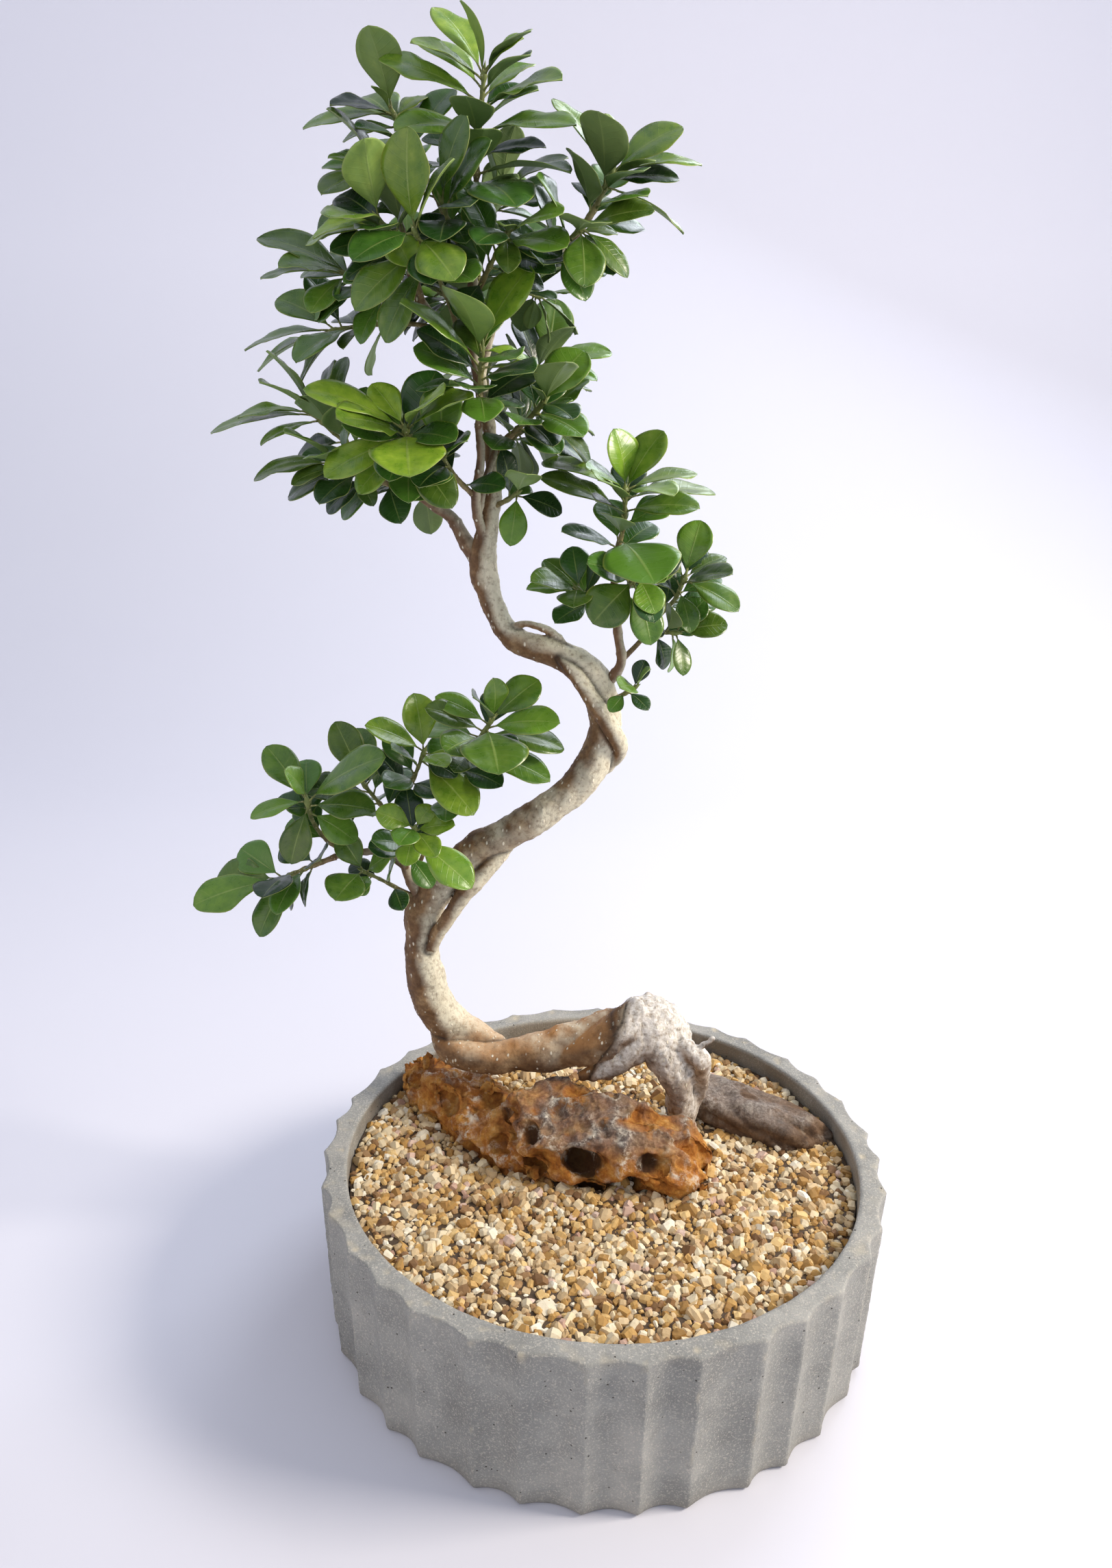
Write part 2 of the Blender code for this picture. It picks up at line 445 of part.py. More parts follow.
def build_screen(number, x, y):
    """A square of plastic mesh lying over a drain hole."""
    half = SCREEN_SIDE / 2
    low = FLOOR + CLEARANCE
    high = low + SCREEN_THICKNESS
    cuts = [-half]
    for index in range(SCREEN_HOLES):
        middle = (index - (SCREEN_HOLES - 1) / 2) * SCREEN_PITCH
        cuts += [middle - SCREEN_OPENING / 2, middle + SCREEN_OPENING / 2]
    cuts.append(half)
    shape = bmesh.new()
    corners = [[shape.verts.new((x + a, y + b, low)) for a in cuts] for b in cuts]
    for row in range(len(cuts) - 1):
        for column in range(len(cuts) - 1):
            if row % 2 and column % 2:
                continue
            shape.faces.new((corners[row][column], corners[row + 1][column],
                             corners[row + 1][column + 1], corners[row][column + 1]))
    sheet = bmesh.ops.extrude_face_region(shape, geom=list(shape.faces))
    moved = [item for item in sheet["geom"] if isinstance(item, bmesh.types.BMVert)]
    bmesh.ops.translate(shape, verts=moved, vec=(0, 0, high - low))
    bmesh.ops.recalc_face_normals(shape, faces=list(shape.faces))
    mesh = bpy.data.meshes.new(f"drain_screen_{number}")
    shape.to_mesh(mesh)
    shape.free()
    mesh.materials.append(material(*PLASTIC))
    made = bpy.data.objects.new(mesh.name, mesh)
    bpy.context.scene.collection.objects.link(made)
    return made


def gravel_top():
    """Height of the gravel's middle level above the bowl's base."""
    return BOWL_HEIGHT - RIM_TO_GRAVEL


def gravel_height(x, y):
    """Height of the gently uneven gravel at a place."""
    swell = math.sin(x / 0.031 + 1) * math.cos(y / 0.038)
    ripple = 0.5 * math.sin((x + y) / 0.021)
    return gravel_top() + GRAVEL_WAVES * (swell + ripple)


def build_soil():
    """The body of soil from the bowl's floor up to the gravel."""
    top = gravel_top() - GRAVEL_DEPTH - CLEARANCE
    low = FLOOR + CLEARANCE
    fillet_top = FLOOR + INNER_FILLET
    soil = lathe("soil", [
        ring(inner_radius(FLOOR) - INNER_FILLET - 3 * CLEARANCE, low, step=FLUTE_COLUMNS),
        ring(inner_radius(fillet_top) - 2 * CLEARANCE, fillet_top + CLEARANCE, step=FLUTE_COLUMNS),
        ring(inner_radius(top) - CLEARANCE, top, step=FLUTE_COLUMNS),
    ], EARTH)
    reach = SCREEN_SIDE + 2 * CLEARANCE
    for number, (x, y) in enumerate(drain_places(), 1):
        bpy.ops.mesh.primitive_cube_add(size=1, location=(x, y, FLOOR))
        pocket = bpy.context.object
        pocket.name = f"screen_pocket_{number}"
        pocket.scale = (reach, reach, 2 * (SCREEN_THICKNESS + 2 * CLEARANCE))
        pocket.hide_render = True
        pocket.display_type = "WIRE"
        boolean(soil, "DIFFERENCE", pocket)
    return soil


def build_gravel():
    """The layer of gravel that covers the soil, uneven on top."""
    bottom = gravel_top() - GRAVEL_DEPTH
    rings = [ring(inner_radius(bottom) - CLEARANCE, bottom, step=FLUTE_COLUMNS)]
    edge = inner_radius(gravel_top() - 2 * GRAVEL_WAVES) - CLEARANCE
    for share in (1, 0.6, 0.25):
        rings.append([(x, y, gravel_height(x, y)) for x, y, _ in ring(edge * share, 0, step=FLUTE_COLUMNS)])
    return lathe("gravel_bed", rings, GRAVEL)


# ---- Stones -------------------------------------------------------------------------


def stone_point(name, direction, grow=0.0):
    """A point of a stone's skin, in millimetres with heights from the gravel.

    The skin is a rounded box with lumps, turned into place, and flat where it is bedded.
    """
    centre, lengths, turns = STONES[name]
    turn = (Matrix.Rotation(math.radians(turns[0]), 3, "Z") @ Matrix.Rotation(math.radians(turns[1]), 3, "X")
            @ Matrix.Rotation(math.radians(turns[2]), 3, "Y"))
    d = direction.normalized()
    seed = sum(ord(letter) for letter in name)
    boxy = (abs(d.x) ** 4 + abs(d.y) ** 4 + abs(d.z) ** 4) ** -0.16
    lumps = (0.10 * math.sin(5 * d.x + seed) * math.cos(4 * d.y + 2 * seed)
             + 0.06 * math.sin(9 * d.z + 7 * d.x + seed) + 0.04 * math.cos(13 * d.y - 6 * d.x))
    local = Vector([part * length * boxy * (1 + lumps) for part, length in zip(d, lengths)])
    local += local.normalized() * grow
    place = turn @ local + Vector(centre)
    place.z = max(place.z, -STONE_BEDDING - grow)
    return place


def gravel_point(place):
    """The world point of a place in the stones' table, which is scaled to the bowl."""
    scale = inner_radius(gravel_top()) / DESIGN_INNER_RADIUS
    return Vector((place[0] * scale, place[1] * scale, gravel_top() + place[2] * MM))


def stone_mesh(name, grow=0.0):
    """Points and faces of a stone, made thicker all round by a length in millimetres."""
    shape = bmesh.new()
    bmesh.ops.create_icosphere(shape, subdivisions=STONE_DETAIL, radius=1)
    points = [gravel_point(stone_point(name, vert.co, grow)) for vert in shape.verts]
    faces = [[vert.index for vert in face.verts] for face in shape.faces]
    shape.free()
    return points, faces


def build_stone(name):
    """A stone with its worn hollows."""
    points, faces = stone_mesh(name)
    stone = mesh_object(name, points, faces, ROCK)
    for number, (direction, lengths) in enumerate(HOLLOWS[name], 1):
        place = gravel_point(stone_point(name, Vector(direction)))
        bpy.ops.mesh.primitive_ico_sphere_add(subdivisions=2, radius=1, location=place)
        hollow = bpy.context.object
        hollow.name = f"{name}_hollow_{number}"
        hollow.scale = [length * MM for length in lengths]
        hollow.hide_render = True
        hollow.display_type = "WIRE"
        boolean(stone, "DIFFERENCE", hollow)
    return stone


# ---- Wood ---------------------------------------------------------------------------


def plant_scale():
    """How much the plant's tables are enlarged."""
    return TREE_HEIGHT / (DESIGN_HEIGHT * MM)


def plant_point(x, y, height):
    """A table's point in the world: heights start at the gravel."""
    scale = plant_scale() * MM
    return Vector((x * scale, y * scale, gravel_top() + height * scale))


def wood_line(table, girth=1.0):
    """World points and radii of a wood table."""
    return [plant_point(*row[:3]) for row in table], [row[3] * MM * girth for row in table]


def twig_line(table):
    """World points and radii of a shoot's stem, tapering to its bud."""
    points = [plant_point(*row) for row in table]
    last = len(points) - 1
    return points, [TWIG_RADIUS * (1 - 0.45 * index / last) for index in range(last + 1)]


def tube(points, radii, sides, pointed=False):
    """Points and faces of a closed tube along a line, with rings that don't twist."""
    made, faces = [], []
    side = None
    last = len(points) - 1
    for index, point in enumerate(points):
        ahead = (points[min(index + 1, last)] - points[max(index - 1, 0)]).normalized()
        if side is None:
            side = ahead.orthogonal().normalized()
        side = (side - ahead * side.dot(ahead)).normalized()
        other = ahead.cross(side)
        for step in range(sides):
            angle = 2 * math.pi * step / sides
            made.append(point + (side * math.cos(angle) + other * math.sin(angle)) * radii[index])
    faces = grid_faces(len(points), sides)
    faces.append(tuple(reversed(range(sides))))
    if pointed:
        made.append(points[-1] + (points[-1] - points[-2]).normalized() * radii[-1] * 4)
        for step in range(sides):
            faces.append((last * sides + step, last * sides + (step + 1) % sides, len(made) - 1))
    else:
        faces.append(tuple(last * sides + step for step in range(sides)))
    return made, faces


def join(shapes):
    """Several closed shapes as one list of points and faces."""
    points, faces = [], []
    for more_points, more_faces in shapes:
        start = len(points)
        points += list(more_points)
        faces += [tuple(index + start for index in face) for face in more_faces]
    return points, faces


def trunk_strands(grow=0.0):
    """The trunk's main stem, and the strands and roots that have grown into it."""
    strands = [(ROOT_TRUNK_LINE, 10), (KNUCKLE_LINE, 8), (BURL_LINE, 6), (TWINING_LINE, 6),
        (ARCHING_LINE, 5)]
    strands += [(line, 6) for line in ROOT_LINES]
    shapes = []
    for table, sides in [(TRUNK_LINE, 10)] + strands:
        points, radii = wood_line(table, TRUNK_GIRTH)
        shapes.append(tube(points, [radius + grow for radius in radii], sides))
    return shapes


def build_trunk():
    """The trunk, one piece of wood from its buried roots to the crown's fork."""
    strands = trunk_strands()
    trunk = mesh_object("trunk", *strands[0], BARK)
    others = mesh_object("trunk_strands", *join(strands[1:]), BARK, cutter=True)
    boolean(trunk, "UNION", others, overlapping=True)
    return trunk


def wood_of(name):
    """World points, radii and sides of a branch or a shoot's stem."""
    if name in BRANCHES:
        return (*wood_line(BRANCHES[name][1]), 7)
    return (*twig_line(SHOOTS[name][1]), 5)


def build_cutters():
    """Copies of the wood, a clearance thicker, that its neighbours are cut by."""
    parents = {parent for parent, _ in BRANCHES.values()} | {row[0] for row in SHOOTS.values()}
    cutters = {}
    for name in sorted(parents):
        if name == "trunk":
            shape = join(trunk_strands(CLEARANCE))
        else:
            points, radii, sides = wood_of(name)
            radii = [radius + 2 * CLEARANCE for radius in radii]
            points[-1] = points[-1] + (points[-1] - points[-2]).normalized() * CLEARANCE
            shape = tube(points, radii, sides)
        cutters[name] = mesh_object("room_for_" + name, *shape, BARK, cutter=True)
    return cutters


# ---- Leaves -------------------------------------------------------------------------


def leaf_shape(place, heading, upper, length, width, spare=0.0):
    """A leaf as a closed three-sided blade: a thin stalk, then two edges over a keel, ending in a point.

    Its midrib is an arc whose chord lies along the heading and which bends away from its upper side.
    """
    across = heading.cross(upper).normalized()
    stalk = PETIOLE_RADIUS + spare / 2
    stations = [(0, stalk, stalk), (PETIOLE, stalk, stalk), (0.4, 0.47, None), (0.78, 0.45, None)]
    points = []
    for share, half, keel in stations:
        turn = LEAF_ARCH * (share - 0.5)
        along = length * (math.sin(turn) + math.sin(LEAF_ARCH / 2)) / LEAF_ARCH
        rise = length * (math.cos(turn) - math.cos(LEAF_ARCH / 2)) / LEAF_ARCH
        middle = place + heading * along + upper * rise
        if keel is None:
            half = half * width + spare
            keel = LEAF_THICKNESS + spare
            points += [middle + across * half + upper * spare, middle - across * half + upper * spare]
        else:
            points += [middle + across * half + upper * half / 2, middle - across * half + upper * half / 2]
        points.append(middle - upper * keel)
    end = length * 2 * math.sin(LEAF_ARCH / 2) / LEAF_ARCH
    points.append(place + heading * (end + spare))
    faces = [(0, 1, 2)]
    for row in range(3):
        for side in range(3):
            after = (side + 1) % 3
            faces.append((row * 3 + side, row * 3 + 3 + side, row * 3 + 3 + after, row * 3 + after))
    faces += [(9 + side, 12, 9 + (side + 1) % 3) for side in range(3)]
    return points, faces


def stem_at(points, share):
    """The point and direction at a share of a line's length."""
    lengths = [(b - a).length for a, b in zip(points, points[1:])]
    want = share * sum(lengths)
    for index, length in enumerate(lengths):
        if want <= length or index == len(lengths) - 1:
            place = points[index].lerp(points[index + 1], want / length)
            return place, (points[index + 1] - points[index]).normalized()
        want -= length


def tree_of(shape, start=0):
    """A search tree over a shape's faces, leaving out those before the start."""
    points, faces = shape
    return BVHTree.FromPolygons(points, faces[start:])


def leaf_upper(heading, stem):
    """The upper side of a leaf: towards the sky and the shoot's tip, square to the heading."""
    upper = Vector((0, -0.25, 1)) + stem * 0.5
    upper = upper - heading * upper.dot(heading)
    return upper.normalized()


def grow_leaves():
    """Place each shoot's leaves a golden turn apart, old ones spreading and young ones upright.

    A leaf whose room is taken is turned further round its stem, then shortened.
    """
    wood = [(name, tree_of(tube(*wood_of(name), pointed=name in SHOOTS))) for name in [*BRANCHES, *SHOOTS]]
    wood.append(("trunk", tree_of(join(trunk_strands()))))
    taken = []
    leaves = {name: [] for name in SHOOTS}

    def fits(name, place, heading, upper, length, width):
        roomy = leaf_shape(place, heading, upper, length, width, spare=0.5 * MM)
        blade = tree_of(roomy, 4)
        middle = place + heading * length / 2
        parent = SHOOTS[name][0]
        whole_leaf = tree_of(roomy)
        for owner, tree in wood:
            if owner != name and (blade if owner == parent else whole_leaf).overlap(tree):
                return False
        if blade.overlap(own_stem[name]):
            return False
        for owner, other_middle, other_length, tree, whole in taken:
            if (middle - other_middle).length < (length + other_length) / 2 + 2 * MM:
                if blade.overlap(tree) or (owner != name and whole_leaf.overlap(whole)):
                    return False
        return True

    def keep(name, place, heading, upper, length, width):
        shape = leaf_shape(place, heading, upper, length, width)
        leaves[name].append(shape)
        taken.append((name, place + heading * length / 2, length, tree_of(shape, 4), tree_of(shape)))

    own_stem = dict(wood)
    scale = plant_scale() * LEAF_SIZE * MM
    for name, rows in SET_LEAVES.items():
        points = twig_line(SHOOTS[name][1])[0]
        for share, tip, width_share in rows:
            place, stem = stem_at(points, share)
            reach = plant_point(*tip) - place
            heading = reach.normalized()
            length = reach.length * LEAF_SIZE
            upper = leaf_upper(heading, stem)
            if fits(name, place, heading, upper, length, length * width_share):
                keep(name, place, heading, upper, length, length * width_share)
    for name, (_, table, bare, count, size, first) in SHOOTS.items():
        points = twig_line(table)[0]
        chosen = len(leaves[name])
        for number in range(count - chosen):
            age = 1 - number / max(count - chosen - 1, 1)
            place, stem = stem_at(points, bare + (1 - bare) * (1 - age ** 1.3) * 0.97)
            side = Vector((0, -1, 0)) - stem * stem.dot(Vector((0, -1, 0)))
            side.normalize()
            lean = math.radians(32 + 66 * age)
            length = size * scale * (0.78 + 0.3 * math.sin(math.pi * min(age + 0.25, 1)))
            for attempt in range(24):
                shorter = 1 if attempt < 12 else 0.75
                swing = (attempt % 12 + 1) // 2 * (1 if attempt % 2 else -1) * math.radians(17)
                turn = math.radians(first) + number * GOLDEN_TURN + swing
                outwards = side * math.cos(turn) + stem.cross(side) * math.sin(turn)
                heading = stem * math.cos(lean) + outwards * math.sin(lean)
                upper = leaf_upper(heading, stem)
                room = (name, place, heading, upper, length * shorter, length * shorter * LEAF_WIDTH)
                if fits(*room):
                    keep(*room)
                    break
    return leaves


def build_plant():
    """The trunk, its branches and its leafy shoots, each cut clear of the wood that it grows from."""
    trunk = build_trunk()
    cutters = build_cutters()
    for name, (parent, _) in BRANCHES.items():
        points, radii, sides = wood_of(name)
        branch = mesh_object(name, *tube(points, radii, sides), BARK)
        boolean(branch, "DIFFERENCE", cutters[parent], overlapping=parent == "trunk")
    leaves = grow_leaves()
    for name, row in SHOOTS.items():
        points, radii, sides = wood_of(name)
        shoot = mesh_object(name, *tube(points, radii, sides, pointed=True), LEAF)
        foliage = mesh_object(name + "_leaves", *join(leaves[name]), LEAF, cutter=True)
        boolean(shoot, "UNION", foliage, overlapping=True)
        boolean(shoot, "DIFFERENCE", cutters[row[0]], overlapping=row[0] == "trunk")
    return trunk, cutters["trunk"]


def main():
    clear_scene()
    build_bowl()
    for number, (x, y) in enumerate(drain_places(), 1):
        build_screen(number, x, y)
    soil = build_soil()
    gravel = build_gravel()
    trunk, room_for_trunk = build_plant()
    boolean(soil, "DIFFERENCE", room_for_trunk, overlapping=True)
    boolean(gravel, "DIFFERENCE", room_for_trunk, overlapping=True)
    stones = []
    for name in STONES:
        stone = build_stone(name)
        boolean(stone, "DIFFERENCE", room_for_trunk, overlapping=True)
        room = mesh_object("room_for_" + name, *stone_mesh(name, 2 * CLEARANCE / MM), ROCK, cutter=True)
        boolean(gravel, "DIFFERENCE", room)
        for neighbour in stones:
            boolean(stone, "DIFFERENCE", neighbour)
        stones.append(room)


main()
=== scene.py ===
# %% [markdown]
# # Fig bonsai in a fluted concrete bowl
#
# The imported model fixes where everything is. Each step below makes one kind of piece or
# finish over it: the bowl, the gravel, the rocks, the old wood, then the leafy shoots.
# Lengths in the plant's tables are in millimetres, with heights counted from the gravel.

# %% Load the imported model
import itertools
import math

import bmesh
import bpy
import numpy as np
from mathutils import Matrix, Vector
from mathutils.bvhtree import BVHTree


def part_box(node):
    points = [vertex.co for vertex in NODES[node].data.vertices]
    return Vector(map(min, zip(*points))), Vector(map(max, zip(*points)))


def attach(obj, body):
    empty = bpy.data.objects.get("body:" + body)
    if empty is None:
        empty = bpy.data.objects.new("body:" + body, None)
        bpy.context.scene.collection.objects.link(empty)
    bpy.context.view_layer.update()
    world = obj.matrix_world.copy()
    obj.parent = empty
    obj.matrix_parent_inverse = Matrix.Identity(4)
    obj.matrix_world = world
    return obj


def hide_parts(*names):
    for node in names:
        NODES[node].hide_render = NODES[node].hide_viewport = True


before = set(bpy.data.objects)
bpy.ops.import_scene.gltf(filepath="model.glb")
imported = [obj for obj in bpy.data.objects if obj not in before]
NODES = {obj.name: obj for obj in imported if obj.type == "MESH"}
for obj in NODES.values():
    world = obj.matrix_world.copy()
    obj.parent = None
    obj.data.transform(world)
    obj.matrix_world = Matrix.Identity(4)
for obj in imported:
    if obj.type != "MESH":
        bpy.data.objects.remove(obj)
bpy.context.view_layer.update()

MM = 0.001
print("packed model:", len(NODES), "nodes")

# %% [markdown]
# ## Driving sizes
#
# The bowl's height is read from the imported model's box, and the gravel level and the plant's
# heights follow from it, so the looks follow the model. The rest are the same choices that the
# model was made with: a wall that cast concrete of this span can have, flutes as a rubber mould
# leaves them, and the leaf's own proportions, which every leaf shares.

# %% Sizes
BOWL_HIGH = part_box("bowl")[1]
BOWL_RADIUS = 170 * MM
BOWL_HEIGHT = BOWL_HIGH[2]
BOWL_TAPER = 4 * MM
WALL = 15.5 * MM
FLOOR = 15 * MM
FLUTES = 35
FLUTE_DEPTH = 5 * MM
FLUTE_WANDER = math.radians(1.1)
FIRST_RIDGE = math.radians(-91.9)
RIM_TO_GRAVEL = 13 * MM
GRAVEL_WAVES = 1.2 * MM
DRAIN_RADIUS = 7 * MM
GRAVEL_TOP = BOWL_HEIGHT - RIM_TO_GRAVEL
INNER_RIM = BOWL_RADIUS - WALL

LEAF_WIDTH = 0.56
LEAF_THICKNESS = 0.9 * MM
PETIOLE = 0.13
PETIOLE_RADIUS = 0.8 * MM
LEAF_ARCH = math.radians(32)
TWIG_RADIUS = 1.5 * MM
GOLDEN_TURN = math.radians(137.5)
STONE_BEDDING = 9

# %% [markdown]
# ## The plant's tables
#
# A trunk like this was trained by hand, so it has no formula: its heart line and thickness
# are listed from the ground up, and so are the strands that fused into it, the branches and
# the shoots. The leaves that matter for the outline are set one by one, and the rest follow
# the fig's own rule further down.

# %% Old wood
# Old wood: lists of (x, y, height above the gravel, radius), lowest end first
TRUNK_LINE = [
    (-64, 46, 51, 5), (-77, 50, 54, 8), (-92, 52, 59, 11), (-104, 50, 69, 12.6), (-111, 47, 83, 12.7),
    (-115, 45, 102, 12), (-117, 45, 116, 10.6), (-117, 46, 128, 10.6), (-117, 47, 140, 12),
    (-112, 48, 154, 12),
    (-103, 48, 166, 11.8), (-91, 47, 178, 11.4), (-78, 46, 190, 10.8), (-62, 45, 201, 10.3),
    (-47, 45, 211, 10.4),
    (-33, 46, 221, 10.2), (-22, 48, 231, 9.8), (-14, 50, 243, 9.8), (-9, 51, 257, 9.4), (-7, 51, 270, 9.2),
    (-9, 50, 283, 10), (-14, 49, 295, 10.4), (-24, 48, 304, 9.8), (-37, 47, 311, 8.8), (-49, 47, 314, 8.2),
    (-60, 48, 318, 7.4), (-67, 49, 325, 6.8), (-72, 50, 335, 6.6), (-76, 50, 345, 7), (-78, 50, 357, 7.6),
    (-77, 49, 370, 7), (-75, 48, 382, 5.6), (-72, 48, 400, 4.7), (-73, 48, 421, 4.2), (-76, 48, 441, 3.9),
    (-80, 48, 459, 3.7), (-83, 48, 476, 3.5),
]
ROOT_TRUNK_LINE = [
    (-109, 58, 66, 6), (-104, 50, 55, 9), (-93, 43, 49, 10.8), (-76, 41, 47, 10.4), (-54, 41, 50, 11.2),
    (-31, 42, 56, 13.6), (-8, 43, 63, 13.8), (12, 44, 69, 15.4), (27, 45, 73, 17.6), (38, 46, 62, 14.5),
    (45, 47, 44, 11), (50, 48, 24, 8.8), (53, 48, 4, 8), (54, 48, -14, 7), (54, 48, -30, 5.5),
]
KNUCKLE_LINE = [(2, 43, 64, 12), (17, 44, 71, 16.5), (30, 45, 75, 18), (41, 46, 67, 13.5), (48, 46, 52, 10)]
BURL_LINE = [(40, 41, 66, 6), (49, 40, 58, 8), (56, 41, 48, 7.5), (58, 43, 38, 4.5)]
ROOT_LINES = [
    [(53, 48, -8, 6.5), (62, 38, -22, 4.5), (80, 26, -34, 3), (98, 16, -44, 1.6)],
    [(53, 48, -8, 6.5), (46, 62, -22, 4.5), (34, 78, -34, 3), (20, 94, -44, 1.6)],
    [(53, 48, -10, 6), (42, 30, -26, 4), (26, 8, -38, 2.8), (8, -14, -46, 1.6)],
]
TWINING_LINE = [
    (-34, 41, 309, 3.6), (-24, 38.5, 300, 4.6), (-16, 38, 289, 5), (-8, 39, 277, 5.2), (-1, 42, 265, 5.2),
    (2, 49, 254, 5.2), (-4, 57, 243, 5), (-15, 60, 232, 5), (-31, 58, 219, 5), (-47, 56, 208, 5),
    (-60, 50, 196, 5.2), (-70, 41, 185, 5.4), (-79, 36.5, 174, 5.4), (-88, 35, 164, 5.2), (-96, 35, 151, 5),
    (-104, 36, 138, 4.6), (-110, 38, 124, 3.6),
]
ARCHING_LINE = [
    (-66, 47, 322, 2), (-57, 45.5, 327, 2.2), (-48, 45, 326.6, 2.3), (-38, 45.5, 322.5, 2.4),
    (-28, 46, 314, 2.2),
]

# %% Branches
# Branches: name: (parent, points as above, from the parent's heart outwards)
BRANCHES = {
    "lower_left_branch": ("trunk", [
        (-114, 48, 150, 3.6), (-122, 43, 166, 3.3), (-126, 40, 182, 2.8), (-127, 36, 204, 2.3),
        (-125, 36, 222, 2)]),
    "lower_outer_branch": ("lower_left_branch", [
        (-125, 41, 177, 2), (-138, 40, 186, 2), (-150, 38, 187, 1.9), (-167, 34, 185, 1.7)]),
    "right_branch": ("trunk", [
        (-9, 50, 290, 3), (1, 44, 306, 2.8), (-1, 42, 323, 2.5), (-4, 40, 346, 2.2), (-4, 40, 360, 2)]),
    "crown_left_branch": ("trunk", [
        (-80, 48, 464, 3), (-91, 48, 475, 3), (-98, 48, 482, 2.9), (-106, 47, 490, 2.7),
        (-113, 46, 501, 2.3),
        (-115, 45, 511, 2)]),
    "crown_leader": ("trunk", [(-83, 48, 474, 3), (-83, 48, 490, 2.9), (-83, 48, 507, 2.6),
        (-83, 48, 525, 2.2)]),
    "crown_right_branch": ("trunk", [
        (-80, 48, 456, 2.6), (-74, 48, 480, 2.5), (-67, 48, 497, 2.3), (-50, 46, 512, 2.1),
        (-30, 44, 527, 1.8)]),
    "left_leader": ("trunk", [
        (-78, 50, 356, 4.6), (-88, 53, 371, 4.2), (-96, 54, 384, 3.5), (-106, 52, 391, 3),
        (-116, 50, 398, 2.7),
        (-127, 48, 402, 2.2)]),
    "front_leader": ("trunk", [
        (-76, 48, 372, 3), (-80, 40, 387, 2.7), (-80, 34, 400, 2.5), (-77, 30, 418, 2.2),
        (-78, 28, 436, 1.9)]),
    "front_side_branch": ("front_leader", [(-80, 40, 388, 2), (-75, 39, 408, 1.9), (-68, 44, 429, 1.7)]),
}

